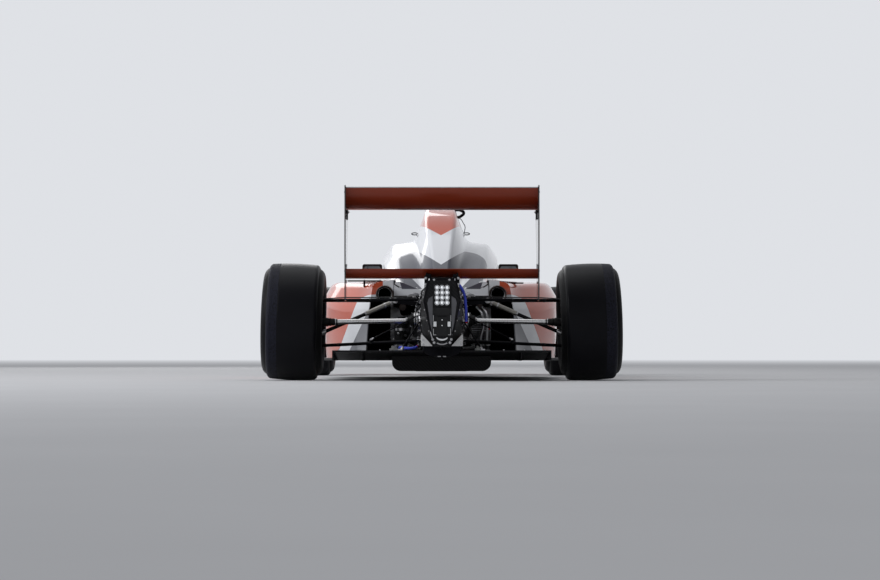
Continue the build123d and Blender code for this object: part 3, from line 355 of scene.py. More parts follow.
def wheel_alloy(name, axle, side):
    """Dark lacquered wheel with a machined lip, and the turned iron brake disc inside it."""
    graph = Graph(name, metal=1.0)
    radius, across = wheel_position(graph, axle, side)
    disc = abs(across + axle["rim"] * DISC_SHARE).under(0.0095, 0.001)
    iron = radius.under(0.126, 0.001) * disc
    swept = iron * radius.over(0.078, 0.002)
    flake = graph.cells(1500.0)
    colour = graph.layers(
        (0.04, 0.041, 0.047),
        (flake, (0.085, 0.086, 0.095)),
        (radius.over(0.1705, 0.001), (0.4, 0.4, 0.42)),
        (iron, (0.1, 0.095, 0.09)),
        (swept, (0.34, 0.33, 0.32)),
    )
    bumps = ((radius.wave(0.0021) * swept, 0.00025, 0.5), (graph.noise(300.0, 2.0), 0.00008, 0.4))
    return graph.surface(colour, flake.between(0.26, 0.4) + iron * 0.1, *bumps)


def shaft_steel(name):
    """Bright ground driveshaft with its dark joint housings."""
    graph = Graph(name, metal=1.0)
    wide = abs(graph.x)
    joint = wide.under(0.166, 0.001).either(wide.over(0.52, 0.001))
    grind = graph.noise(120.0, 3.0, (14, 1, 1))
    colour = graph.layers((0.8, 0.8, 0.8), (joint, (0.05, 0.05, 0.055)))
    return graph.surface(colour, grind.between(0.16, 0.42), (grind, 0.0001, 0.5))


def link_steel(name):
    """Black lacquered push and pull rods, their rear adjusting sleeves in grey alloy."""
    graph = Graph(name, metal=1.0)
    rear, inboard = graph.y.under(0, 0.01), abs(graph.x).under(0.3765, 0.0008)
    sleeve = rear * inboard * graph.z.under(0.41, 0.001)
    grain = graph.noise(170.0, 3.0, (1, 12, 1))
    colour = graph.layers((0.016, 0.016, 0.018), (sleeve, (0.32, 0.31, 0.28)))
    return graph.surface(colour, grain.between(0.3, 0.5), (grain, 0.0001, 0.5))


def exhaust_steel(name):
    """Sooty inside, heat tinted outside towards the tip."""
    graph = Graph(name, metal=1.0)
    wide, rise = abs(graph.x) - PIPE_X, graph.z - PIPE_Z
    bore = (wide * wide + rise * rise).root().under(0.0385, 0.0015) * graph.y.under(-1.0, 0.01)
    heat = graph.noise(30.0, 4.0)
    tints = (heat, (0.12, 0.095, 0.085)), (bore, (0.004, 0.004, 0.004))
    colour = graph.layers((0.05, 0.044, 0.042), *tints)
    return graph.surface(colour, heat.between(0.34, 0.55) + bore * 0.3, (heat, 0.0002, 0.4))


# Colours of the bodywork over its own coordinates

def cover_colours(graph):
    """Orange cap down to its V, white flanks, dark grey hip panels with their V and tail edge."""
    wide, z = abs(graph.x), graph.z
    cap = (z - wide * 0.59).over(0.757, 0.0012)
    across, rise = (wide - 0.125) / 0.118, (z - 0.598) / 0.078
    inside = (across * across + rise * rise).under(1.0, 0.02)
    skirt = (wide - z * 0.3).under(0.063, 0.001) * z.under(0.598, 0.001)
    arch = wide.under(0.125, 0.0006).either(inside).either(skirt)
    hip = (z - wide * 0.648).under(0.594, 0.0012) * arch
    rear = graph.y.under(-0.3, 0.004)
    flare = (wide - z * 0.95).under(-0.344, 0.001) * z.under(0.53, 0.001)
    lip = z.under(0.464, 0.001).either(flare)
    slash = abs(z - wide * 0.65 - 0.331).under(0.0024, 0.0008)
    slash = slash * wide.over(0.217, 0.001) * z.under(0.52, 0.001) * rear
    return graph.layers(WHITE, (hip * rear * (1.0 - lip), HIP_GREY), (slash, BLACK), (cap, ORANGE))


def pod_colours(graph):
    """Orange top and flank, white slanting band with a round shoulder, dark grey inboard, and black
    low inboard at the tail as painted shade of the rear exit.
    """
    wide, z = abs(graph.x), graph.z
    tail = graph.y.under(-0.6, 0.01)
    bend = (wide - 0.355).either(0.0)
    shoulder = (z + bend * bend * 4.2).under(0.4355, 0.0012)
    white = (wide + (z - 0.4275) * 0.408).under(0.427, 0.0012) * shoulder
    transom = graph.y.under(-1.088, 0.001) * wide.under(0.3, 0.001)
    grey = (wide + (z - 0.3786) * 0.504).under(0.363, 0.0012) * z.under(0.38, 0.001)
    # Black low inboard at the tail: painted shade standing in for the dark opening of the pod's
    # rear exit.
    black = (wide + (z - 0.327) * 0.177).under(0.358, 0.0012) * z.under(0.33, 0.001)
    white = (white * tail).either(transom)
    return graph.layers(ORANGE, (white, WHITE), (grey * tail, HIP_GREY), (black * tail, BLACK))


def tub_colours(graph):
    """White upper sides, orange top strip and grey below the waist line."""
    slant = abs(graph.x) + (graph.y - 0.5) * 0.05
    strip = slant.under(0.085, 0.0015) * graph.y.over(0.5, 0.002)
    low = (graph.z - graph.y * 0.04).under(0.27, 0.0015)
    return graph.layers(WHITE, (strip, ORANGE), (low, HIP_GREY))


MATERIALS = {
    "orange": paint("paint_orange", ORANGE),
    # The rear wings take the body orange darkened: painted shade.
    "wing": paint("paint_wing_in_shade", WING_ORANGE_IN_SHADE, 0.25, 0.3, 0.18),
    "cover": paint("paint_cover", cover_colours, 0.1),
    "pod": paint("paint_pod", pod_colours, 0.1),
    "tub": paint("paint_tub", tub_colours, 0.1),
    "endplate": carbon("carbon_endplate", coat=1.0, specular=0.5),
    "underside": carbon("carbon_floor", rough=0.42, coat=0.1, specular=0.12),
    "seat": carbon("carbon_seat", coat=0.3, rough=0.45),
    "satin_black": metal("satin_black_steel", (0.012, 0.012, 0.014), 0.4, stain=0.2),
    "steel": metal("bright_steel", (0.62, 0.62, 0.63), 0.22, (1, 12, 12), 120.0),
    "shaft": shaft_steel("driveshaft_steel"),
    "links": link_steel("pushrod_steel"),
    "cast": metal("cast_alloy", (0.05, 0.05, 0.054), 0.44, scale=420.0, depth=0.0005),
    "ear": plastic("bead_blasted_alloy", (0.62, 0.62, 0.61), 0.42, 420.0, 0.0003),
    # Lighter grey metal for the tail cheeks: painted highlight of light caught on the tail face's
    # bevelled edges.
    "cheek": metal("cheek_painted_highlight", (0.15, 0.15, 0.16), 0.34, scale=300.0),
    "pale_cast": metal("pale_cast_alloy", (0.5, 0.5, 0.48), 0.42, scale=420.0, depth=0.0004),
    "dark_cast": metal("dark_cast_alloy", (0.035, 0.035, 0.038), 0.5, scale=380.0, depth=0.0005),
    "exhaust": exhaust_steel("burnt_steel"),
    "alloy": metal("machined_alloy", (0.6, 0.6, 0.61), 0.26, (1, 8, 8), 90.0),
    "spring": metal("spring_lacquer", (0.3, 0.3, 0.32), 0.3),
    "plastic": plastic("black_plastic", (0.0075, 0.0075, 0.0085)),
    "boot": plastic("moulded_rubber", (0.0065, 0.0065, 0.007), 0.5, 500.0, 0.0002),
    "pale": plastic("pale_plastic", (0.78, 0.79, 0.8), 0.35),
    "seam": plastic("seam_rubber", (0.006, 0.006, 0.007), 0.55),
    "screen": plastic("dark_screen", (0.01, 0.012, 0.014), 0.16),
    "hose": braided("black_hose", (0.008, 0.008, 0.009)),
    "blue_hose": braided("blue_hose", (0.05, 0.08, 0.62)),
    "webbing": braided("harness_webbing", (0.012, 0.012, 0.014), 0.0024, 0.6),
    "nut_red": metal("red_anodised", (0.42, 0.025, 0.02), 0.25),
    "nut_blue": metal("blue_anodised", (0.03, 0.06, 0.4), 0.25),
    "lens": lamp_glass("lamp_lens"),
    "lamp_ring": plastic("lamp_ring", (0.86, 0.87, 0.9), 0.25),
    "mirror": mirror_glass("mirror_glass"),
    "wood": plastic("laminate_plank", (0.16, 0.125, 0.055), 0.6, 60.0, 0.0004),
    "pad": plastic("headrest_skin", (0.014, 0.014, 0.015), 0.62, 1400.0),
}

NODE_FINISH = {
    "wing": "rear_wing_upper beam_wing",
    "orange": "front_wing_main front_wing_flaps",
    "tub": "monocoque nose_cone",
    "cover": "engine_cover",
    "pod": "sidepod_left sidepod_right",
    "underside": "floor_panel diffuser crash_structure",
    "endplate": "rear_wing_endplates front_wing_endplates",
    "satin_black": "front_wishbones rear_wishbones rear_rockers beam_wing_brackets rear_uprights "
    "front_upright_left front_upright_right steering_rack tow_eyes release_pulls",
    "links": "pushrods",
    "shaft": "driveshaft_left driveshaft_right",
    "cast": "gearbox_case",
    "dark_cast": "engine_block radiators",
    "exhaust": "exhaust_pipes",
    "plastic": "rain_light mirrors steering_wheel",
    "pad": "head_surround",
    "seat": "seat",
    "wood": "plank",
}


def finish_node(name, graph):
    mesh = NODES[name].data
    mesh.materials.clear()
    mesh.materials.append(graph.material)


def finish_nodes():
    for finish, names in NODE_FINISH.items():
        for name in names.split():
            finish_node(name, MATERIALS[finish])
    for end, axle in AXLES.items():
        for side, sign in SIDES.items():
            finish_node(f"tyre_{end}_{side}", rubber(f"rubber_{end}_{side}", axle, sign))
            finish_node(f"wheel_{end}_{side}", wheel_alloy(f"wheel_alloy_{end}_{side}", axle, sign))


# Shapes of the added detail

def new_object(name, data):
    """Object in the scene with this data."""
    item = bpy.data.objects.new(name, data)
    bpy.context.scene.collection.objects.link(item)
    return item


def spot(x, y, z, turn=(0, 0, 0)):
    """Frame at a point, turned about its own axes in degrees."""
    return Matrix.Translation((x, y, z)) @ Euler([radians(a) for a in turn]).to_matrix().to_4x4()


def aim(place, direction, up=(0, 0, 1)):
    """Frame at a place whose z runs along a direction, with its y kept near up."""
    z = Vector(direction).normalized()
    x = Vector(up).cross(z)
    if x.length < 0.01:
        x = Vector((0, 1, 0)).cross(z)
    x.normalize()
    return Matrix.Translation(place) @ Matrix((x, z.cross(x), z)).transposed().to_4x4()


def facing(x, y, z):
    """Frame at a point whose z faces the rear and whose y stands up."""
    return spot(x, y, z, (90, 0, 0))


def around(place, count, radius, height=0.0, first=0.0):
    """Frames spaced evenly round a frame's z, on a circle in millimetres."""
    turns = [radians(first + 360 / count * i) for i in range(count)]
    return [place @ spot(radius * MM * cos(t), radius * MM * sin(t), height * MM) for t in turns]


def mirrored(points, side):
    """Right hand points, on the right or the left."""
    return [Vector((side * x, y, z)) for x, y, z in points]


def ring_points(radius, sides, height=0.0):
    turns = [2 * pi * i / sides for i in range(sides)]
    return [Vector((radius * cos(t), radius * sin(t), height)) for t in turns]


def arc(wide, tall, start, stop, step, middle=0.0):
    """Points of an ellipse between two angles in degrees."""
    turns = [radians(a) for a in range(start, stop, step)]
    return [(wide * cos(t), middle + tall * sin(t)) for t in turns]


def rounded(width, height, radius, steps=4):
    """Rounded rectangle round the origin."""
    points = []
    for corner, (sx, sy) in enumerate([(1, 1), (-1, 1), (-1, -1), (1, -1)]):
        middle = Vector((sx * (width / 2 - radius), sy * (height / 2 - radius)))
        for i in range(steps + 1):
            turn = radians(90 * corner + 90 * i / steps)
            points.append(middle + Vector((cos(turn), sin(turn))) * radius)
    return points


def collar(small, big, low, high, edge=0.0):
    """Turned profile of a ring, chamfered alike at both ends."""
    return [(small, low), (big, low + edge), (big, high - edge), (small, high)]


def stud(big, small, low, shoulder, top):
    """Turned profile of a solid disc or peg with its upper edge eased."""
    return [(big, low), (big, shoulder), (small, top), (0, top)]


def closed(profile):
    return [*profile, profile[0]]


def shifted(profile, rise):
    return [(radius, height + rise) for radius, height in profile]


def smooth_line(points, steps):
    """Points of a smooth line that passes through the given ones."""
    points = [Vector(p) for p in points]
    ends = [points[0] * 2 - points[1], *points, points[-1] * 2 - points[-2]]
    line = []
    for a, b, c, d in zip(ends, ends[1:], ends[2:], ends[3:]):
        for t in (i / steps for i in range(steps)):
            square, cube = 2 * a - 5 * b + 4 * c - d, 3 * b - a - 3 * c + d
            line.append(0.5 * (2 * b + (c - a) * t + square * t * t + cube * t**3))
    return [*line, points[-1]]


def travel(points, steps):
    """Points of a smooth line, each with the line's direction there."""
    line = smooth_line(points, steps)
    ahead, behind = [*line[1:], line[-1]], [line[0], *line[:-1]]
    return [(p, (a - b).normalized()) for p, a, b in zip(line, ahead, behind)]


def stitch(part, low, high):
    """Faces between two loops, either of which may be a single point."""
    count = max(len(low), len(high))
    for i in range(count):
        j = (i + 1) % count
        corners = [low[i % len(low)], low[j % len(low)], high[j % len(high)], high[i % len(high)]]
        corners = list(dict.fromkeys(corners))
        if len(corners) > 2:
            part.faces.new(corners)


def skin(loops, ring=False, caps=True):
    """Mesh through loops of points in turn, capped at its ends, or a ring that closes on itself."""
    part = bmesh.new()
    loops = [[part.verts.new(point) for point in loop] for loop in loops]
    for low, high in zip(loops, [*loops[1:], loops[0]] if ring else loops[1:]):
        stitch(part, low, high)
    if caps and not ring:
        for end in (loops[0][::-1], loops[-1]):
            if len(end) > 1:
                part.faces.new(end)
    return part


class Piece:
    """Detail on one body: blocks, plates, tubes and turned profiles gathered in one mesh."""

    def __init__(self, name, finish, body="chassis"):
        self.name, self.body = name, body
        self.mesh = bmesh.new()
        self.finishes = []
        self.use(finish)

    def use(self, finish):
        """Shapes added from here on take this finish."""
        if finish not in self.finishes:
            self.finishes.append(finish)
        self.index = self.finishes.index(finish)
        return self

    def absorb(self, part, place=Matrix()):
        part.transform(place)
        for face in part.faces:
            face.material_index = self.index
            face.smooth = True
        loose = bpy.data.meshes.new("loose")
        part.to_mesh(loose)
        part.free()
        self.mesh.from_mesh(loose)
        bpy.data.meshes.remove(loose)

    def box(self, size, place, bevel=1.0, segments=2):
        part = bmesh.new()
        bmesh.ops.create_cube(part, size=MM)
        bmesh.ops.scale(part, vec=size, verts=part.verts)
        eased = dict(offset=bevel * MM, segments=segments, profile=0.5, affect="EDGES")
        bmesh.ops.bevel(part, geom=part.edges[:], **eased)
        self.absorb(part, place)

    def plate(self, points, thick, place, bevel=0.6, hole=None):
        """Flat plate of an outline, its edges eased; a hole's outline has as many points."""
        half = thick / 2

        def loop(outline, inset, height):
            outline = [Vector(p) for p in outline]
            middle = sum(outline, Vector((0, 0))) / len(outline)
            shrunk = [p + (middle - p).normalized() * inset for p in outline]
            return [Vector((p.x, p.y, height)) * MM for p in shrunk]

        levels = [(bevel, -half), (0, bevel - half), (0, half - bevel), (bevel, half)]
        loops = [loop(points, inset, height) for inset, height in levels]
        if hole:
            loops += [loop(hole, 0, height) for height in (half, -half)]
        self.absorb(skin(loops, ring=bool(hole)), place)

    def turned(self, profile, place, sides=20):
        """Solid turned about local z from radii and heights; a ring if the last is the first."""
        ring = tuple(profile[0]) == tuple(profile[-1])
        loops = [
            ring_points(r * MM, sides, z * MM) if r else [Vector((0, 0, z * MM))]
            for r, z in (profile[:-1] if ring else profile)
        ]
        self.absorb(skin(loops, ring), place)

    def tube(self, points, radius, sides=10, steps=5):
        """Round tube along a smooth line through the points."""
        stations = travel(points, steps)
        side = stations[0][1].orthogonal().normalized()
        loops = []
        for point, onward in stations:
            side = (side - onward * side.dot(onward)).normalized()
            other = onward.cross(side)
            section = ring_points(radius * MM, sides)
            loops.append([point + side * p.x + other * p.y for p in section])
        self.absorb(skin(loops))

    def ribbon(self, points, width, thick, across):
        """Flat strap along a smooth line, its width along one direction."""
        across = Vector(across)
        loops = []
        for point, onward in travel(points, 4):
            wide = (across - onward * across.dot(onward)).normalized() * width * MM / 2
            lift = onward.cross(wide).normalized() * thick * MM / 2
            edge = wide * (1 - thick / width)
            corners = (wide, edge + lift, -edge + lift, -wide, -edge - lift, edge - lift)
            loops.append([point + corner for corner in corners])
        self.absorb(skin(loops))

    def bolt(self, place, radius):
        """Hexagon bolt head on its washer, standing up along local z."""
        r = radius
        self.turned(stud(r * 1.45, r * 1.363, -0.4, r * 0.22, r * 0.28), place, 18)
        self.turned(stud(r, r * 0.84, r * 0.25, r * 1.12, r * 1.3), place, 6)

    def cap_screw(self, place, radius):
        """Round socket screw, standing up along local z."""
        r, top, socket = radius, radius * 1.25, radius * 0.52
        head = [(r, -0.4), (r, top * 0.86), (r * 0.86, top), (socket, top)]
        self.turned([*head, (socket, top * 0.45), (0, top * 0.45)], place, 14)

    def button(self, place, radius):
        """Low quarter turn fastener with its slot, on a thin ring."""
        r = radius
        self.turned([(r, -0.6), (r, 0.8), (r * 0.86, 1.4), (0, 1.7)], place)
        self.box((r * 1.2, r * 0.2, 0.8), place @ spot(0, 0, 0.0017), 0.2, 1)

    def clamp(self, place, radius, width):
        """Worm drive hose clamp round local z, with its screw housing."""
        r = radius + 0.9
        self.turned(collar(r, r + 0.8, -width / 2, width / 2), place, 22)
        self.box((7, 14, width * 0.9), place @ spot((r + 3) * MM, 0, 0))

    def finish(self):
        """Object of everything gathered so far, riding on its body."""
        mesh = bpy.data.meshes.new(self.name)
        bmesh.ops.recalc_face_normals(self.mesh, faces=self.mesh.faces)
        self.mesh.to_mesh(mesh)
        self.mesh.free()
        mesh.set_sharp_from_angle(angle=radians(SHARP_EDGE))
        piece = new_object(self.name, mesh)
        for finish in self.finishes:
            mesh.materials.append(MATERIALS[finish].material)
        piece.modifiers.new("even normals", "WEIGHTED_NORMAL").keep_sharp = True
        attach(piece, self.body)
        return piece


SURFACES = {}


def surface(node):
    """Search tree of a node's mesh."""
    if node not in SURFACES:
        mesh = NODES[node].data
        faces = [tuple(p.vertices) for p in mesh.polygons]
        SURFACES[node] = BVHTree.FromPolygons([v.co for v in mesh.vertices], faces)
    return SURFACES[node]


def touch(node, start, toward):
    """Point and outward normal where a line from start meets a node."""
    start, toward = Vector(start), Vector(toward).normalized()
    point, normal, _, _ = surface(node).ray_cast(start, toward)
    if point is None:
        point, normal, _, _ = surface(node).find_nearest(start)
    if normal.dot(toward) > 0:
        normal = -normal
    return point, normal


def on_surface(node, start, toward, lift=0.0, up=(0, 0, 1)):
    """Frame on a node's skin where a line meets it, its z standing off the skin."""
    point, normal = touch(node, start, toward)
    return aim(point + normal * lift, normal, up)


def flank(node, x, y, z):
    """Frame on a node's side, met from x inwards."""
    return on_surface(node, (x, y, z), (-x, 0, 0))


def roof(node, x, y, z, lift=0.0, up=(0, 0, 1)):
    """Frame on a node's upper side, met from z down."""
    return on_surface(node, (x, y, z), (0, 0, -1), lift, up)


def below(node, x, y, z):
    """Point of a node straight below another point."""
    return touch(node, (x, y, z), (0, 0, -1))[0]


def traced(node, points, toward, lift):
    """Points moved onto a node's skin along one direction, and a little off it."""
    hits = [touch(node, point, toward) for point in points]
    return [place + normal * lift for place, normal in hits]


# Tail: rain light, panel, bolts and castings

def rain_light():
    """Bezel round a recessed board with twelve bright lenses in three columns."""
    low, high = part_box("rain_light")
    middle, size = (low + high) / 2, (high - low) / MM
    face = facing(middle.x, low.y, middle.z)
    light = Piece("rain_light_lamp", "plastic")
    light.plate(rounded(81, 108, 12), 7.8, face @ spot(0, 0, -0.0041), 1.4, rounded(73.5, 98.5, 9))
    light.plate(rounded(74, 99, 9), 1.2, face @ spot(0, 0, -0.0073), 0.2)
    light.plate(rounded(size.x, size.z, 10), 13, face @ spot(0, 0, -0.0146), 0.8)
    ring = [(11.7, 0), (11.7, 4.8), (10.9, 6.0), (9.6, 5.0), (9.4, 0), (11.7, 0)]
    bulb = [(7.4, 2.0), (7.0, 4.4), (5.2, 5.8), (2.8, 6.4), (0, 6.5)]
    for column in (-1, 0, 1):
        for row in range(4):
            seat = face @ spot(column * 0.0237, (1.5 - row) * 0.024, -0.0067)
            light.use("lamp_ring").turned(ring, seat, 24)
            light.use("plastic").turned([(9.9, 1.2), (9.9, 2.4), (0, 2.4)], seat)
            light.use("lens").turned(bulb, seat)
    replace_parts(light.finish(), "rain_light")


def tail_face(x, z, lift=0.0):
    """Frame on the tail's rear face, its z to the rear, lifted by millimetres."""
    return facing(x, TAIL + 0.008 - lift * MM, z)


def tail_panel():
    """Black jack panel under the lamp: bumper block, pale tabs and hooks, and the sling below."""
    panel = Piece("tail_panel", "plastic")
    panel.box((86, 36, 6), tail_face(0, 0.3315, 3), 1.8)
    panel.box((88, 100, 2), tail_face(0, 0.264, 1), 0.8)
    panel.box((46, 92, 3.5), tail_face(0, 0.262, 3.5), 1.2)
    panel.use("satin_black").box((44, 2.2, 2.5), tail_face(0, 0.307, 6), 0.6)
    for side in BOTH:
        panel.use("pale").box((14.2, 23.6, 2.6), tail_face(side * 0.0335, 0.2715, 3.8), 0.6)
        panel.use("alloy").box((2.8, 29, 3), tail_face(side * 0.0412, 0.2995, 3.5), 0.8)
        panel.box((3, 30, 3), tail_face(side * 0.0408, 0.235, 3.5), 0.8)
        panel.box((14, 3.2, 3), tail_face(side * 0.035, 0.221, 3.5), 0.8)
        for x, z in ((0.0375, 0.184), (0.044, 0.199)):
            panel.bolt(tail_face(side * x, z), 4.2)
        for z in (0.343, 0.32):
            panel.use("satin_black").cap_screw(tail_face(side * 0.035, z, 4.2), 2.4)
    for z in (0.2914, 0.265):
        panel.use("pale").turned(stud(3, 2.2, 0, 1.6, 2.2), tail_face(0, z, 5), 16)
    panel.finish()
    arcs = Piece("tail_arcs", "alloy")
    outline = arc(27.5, 18, 188, 353, 12) + arc(24, 10.5, 188, 353, 12)[::-1]
    arcs.use("pale").plate(outline, 3, tail_face(0, 0.2115, 1.5), 0.4)
    sling = [(x, TAIL + 0.0062, z) for x, z in arc(0.046, 0.0425, 238, 303, 8, 0.2185)]
    arcs.use("alloy").tube(sling, 3.4, 8, 2)
    hook = ((-0.055, 0.0062, 0.236), (-0.0505, 0.006, 0.218), (-0.0445, 0.0062, 0.201))
    arcs.tube([(x, TAIL + y, z) for x, y, z in hook], 2.6, 8, 3)
    arcs.finish()


def tail_seams():
    """Rolled edges and bolts down both flanks of the tail cone, and its joint to the gearbox."""
    trim = Piece("tail_trim", "satin_black")
    tail = "crash_structure"
    for side in BOTH:
        starts = [(side * 0.3, y, 0.3) for y in (-1.735, -1.82, -1.92, -2.02, -2.085)]
        trim.use("satin_black").ribbon(traced(tail, starts, (-side, 0, 0), 0.001), 16, 3, (0, 0, 1))
        corner = [Vector((side * x, TAIL + 0.0062, z)) for x, z in ((0.048, 0.226), (0.084, 0.381))]
        edge = [Vector((side * x, TAIL + 0.0062, z)) for x, z in ((0.084, 0.389), (0.064, 0.476))]
        for a, b in (corner, edge):
            trim.tube([a, (a + b) / 2, b], 2.8, 8, 3)
        rows = [(-1.745, z) for z in (0.19, 0.23, 0.27, 0.31, 0.35, 0.39, 0.43)]
        rows += [(-2.07, z) for z in (0.24, 0.29, 0.34, 0.4, 0.45)]
        for y, z in rows:
            trim.use("steel").cap_screw(flank(tail, side * 0.3, y, z), 3.6)
    for x in (-0.03, 0.03):
        for y in (-1.76, -1.9, -2.04):
            trim.cap_screw(roof(tail, x, y, 0.6), 3.2)
    trim.finish()


def gearbox_hardware():
    """Bolts round the case joints, the final drive's seal carriers, covers, ribs and plug."""
    node = "gearbox_case"
    bolts = Piece("gearbox_bolts", "steel")
    joints = ((-1.075, 0.255, 0.15, 0.37), (-1.385, 0.23, 0.2, 0.37), (-1.714, 0.22, 0.2, 0.38))
    for y, wide, low, high in joints:
        for side in BOTH:
            for i in range(5):
                bolts.bolt(flank(node, side * wide, y, low + (high - low) * i / 4), 4.5)
        for x in (-0.06, -0.02, 0.02, 0.06):
            bolts.bolt(roof(node, x, y, 0.7), 4.5)
    bolts.finish()
    carriers = Piece("final_drive_seals", "alloy")
    for side in BOTH:
        seat = aim((side * 0.1095, REAR_AXLE, 0.2968), (side, 0, 0))
        ring = [(22, -4), (58, -4), (60, 0), (58, 3.5), (30, 3.5), (22, 2)]
        carriers.use("alloy").turned(closed(ring), seat, 36)
        for place in around(seat, 8, 51, 3, 22):
            carriers.use("steel").bolt(place, 3.6)
    carriers.finish()
    case = Piece("gearbox_covers", "dark_cast")
    for side in BOTH:
        for y, z, r in ((-1.6, 0.3, 34), (-1.22, 0.285, 30)):
            cover = flank(node, side * 0.4, y, z)
            lid = [(r, -4), (r, 5), (r * 0.92, 8), (r * 0.4, 9), (0, 9)]
            case.use("dark_cast").turned(lid, cover, 30)
            for place in around(cover, 6, r * 0.8, 7.5):
                case.use("steel").cap_screw(place, 2.8)
        for i in range(7):
            rib = flank(node, side * 0.4, -1.66 + 0.036 * i, 0.245)
            case.use("dark_cast").box((3.5, 62, 8), rib @ spot(0, 0, 0.001), 1.2)
    case.use("steel").bolt(on_surface(node, (0.03, -1.55, 0.0), (0, 0, 1)), 8)
    case.finish()


def tail_cradle():
    """Black shell under the tail's foot with a small bright bar at its lowest point as a painted
    glint, plate over its top, and lighter grey cheeks beside the lamp as painted highlight of the
    face's bevelled edges.
    """
    cradle = Piece("tail_cradle", "satin_black")
    outline = arc(94, 34, 180, 361, 12, 148) + [(90, 164), (72, 169), (-72, 169), (-90, 164)]
    cradle.plate(outline, 120, facing(0, -1.812, 0), 4)
    cradle.box((118, 10, 21), spot(0, TAIL + 0.014, 0.4805), 2)
    # Small bright alloy bar at the shell's lowest point: painted highlight where the shell's
    # underside would glint.
    cradle.use("alloy").box((40, 3, 5), spot(0, -1.873, 0.1185))
    for x in (-0.038, 0.035):
        cradle.bolt(facing(x, TAIL + 0.009, 0.4815), 3.6)
    # Lighter grey plates along the face's slanted edges: painted highlight of light on the bevels.
    rim = [(44.5, 405), (64, 392), (70, 372), (55.5, 262), (48, 215), (45, 262)]
    for side in BOTH:
        outline = [(side * x, z) for x, z in rim][::side]
        cradle.use("cheek").plate(outline, 2.2, facing(0, TAIL + 0.0069, 0))
    cradle.finish()


def gearbox_feet():
    """Pale cast rails along the tail's lower flanks, with studs in their ends."""
    ears = Piece("gearbox_ears", "ear")
    section = [(45, 168), (99, 168), (101, 212), (97, 226), (80, 208), (60, 186)]
    for side in BOTH:
        outline = [(side * x, z) for x, z in section][::side]
        ears.use("ear").plate(outline, 330, facing(0, GEARBOX_REAR - 0.16, 0), 1.5)
        for z in (0.175, 0.197):
            ears.use("steel").bolt(facing(side * 0.0905, GEARBOX_REAR - 0.3245, z), 4)
    ears.finish()


def exhaust_tips():
    """Bright inner sleeve and rolled dark lip of both tail pipes; the sleeve's bright alloy is a
    painted highlight of the pipe's inner rim.
    """
    tips = Piece("exhaust_tips", "exhaust")
    lip = [(37.8, -4), (38.2, 0.5), (40.5, 2.2), (43.6, 2.0), (45.4, -1), (44.6, -10)]
    sleeve = [(36.8, -30), (36.8, -2), (35.2, 0.6), (33.6, -1), (33, -6), (33, -30)]
    for side in BOTH:
        mouth = aim((side * PIPE_X, PIPE_END, PIPE_Z), (0, -1, 0))
        tips.use("exhaust").turned(closed(lip), mouth, 48)
        # Bright alloy sleeve inside the pipe: its brightness is painted highlight of the inner rim.
        tips.use("alloy").turned(closed(sleeve), mouth, 48)
    tips.finish()


def roll_bar_links():
    """Thin links from the gearbox's flanks down to clips on the lower rear wishbones."""
    links = Piece("roll_bar_links", "satin_black")
    for side in BOTH:
        low, inner = mirrored([(0.35, -1.512, 0.2015), (0.095, -1.535, 0.333)], side)
        high, _ = touch("gearbox_case", low, inner - low)
        reach = (high - low).normalized()
        links.use("satin_black").tube([low, (low + high) / 2, high - reach * 0.006], 3.4, 12, 2)
        links.box((14, 34, 12), spot(low.x, low.y, 0.1935), 2)
        for end, way in ((low, reach), (high - reach * 0.012, -reach)):
            links.use("alloy").turned(collar(4.2, 6.2, 4, 16, 1), aim(end, way), 6)
            links.use("steel").turned(collar(3.5, 6.8, -6, 6, 2), aim(end, (0, 1, 0)), 16)
    links.finish()


def driveshaft_boots():
    """Black convoluted boots and their clips, and the bright bolted flange, of both driveshafts."""
    rear = AXLES["rear"]
    tilt = radians(rear["camber"])
    inboard = -rear["rim"] * DISC_SHARE - 0.038 - 0.026
    outer = (rear["x"] + inboard * cos(tilt), REAR_AXLE, rear["z"] + inboard * sin(tilt))
    folds = [(40.2, 12), (40.6, 23)]
    for i in range(3):
        peak, valley, step = 36.5 - 7.2 * i, 30 - 6.2 * i, 26 + 8.5 * i
        folds += [(peak, step), (peak, step + 2.6), (valley, step + 5.2)]
    folds += [(16, 53.5), (16, 60.5), (12.6, 62)]
    tail = [(12.6, 118), (14.8, 114), (15, 104), (18.5, 96), (17, 90)]
    tail += [(20.5, 82), (18.5, 76), (22.5, 66), (20, 56), (20, 20)]
    flange = [(16, 0), (42.5, 0), (43.5, 2), (43.5, 9), (42.5, 11), (40.3, 11)]
    for name, side in SIDES.items():
        a, b = mirrored([(0.116, REAR_AXLE, 0.297), outer], side)
        shaft, length = aim(a, b - a), (b - a).length / MM
        boot = Piece(f"driveshaft_boots_{name}", "boot", f"{name}_driveshaft")
        boot.turned(folds, shaft, 32)
        boot.turned([(r, length - z) for r, z in tail], shaft, 32)
        for z, radius, width in ((18.5, 40.4, 5), (57, 16, 4), (length - 109, 15, 5)):
            boot.use("steel").clamp(shaft @ spot(0, 0, z * MM), radius, width)
        for place in around(shaft, 6, 42.5, 9):
            boot.turned(stud(3.2, 2.6, -4, 4, 5), place, 6)
        boot.use("alloy").turned(flange, shaft, 36)
        boot.finish()


# Suspension, brakes and wheels

def hub_point(end, x, y, z):
    """Point given from the middle of the right hand wheel at one end of the car."""
    axle = AXLES[end]
    return Vector((axle["x"] + x, axle["y"] + y, axle["z"] + z))


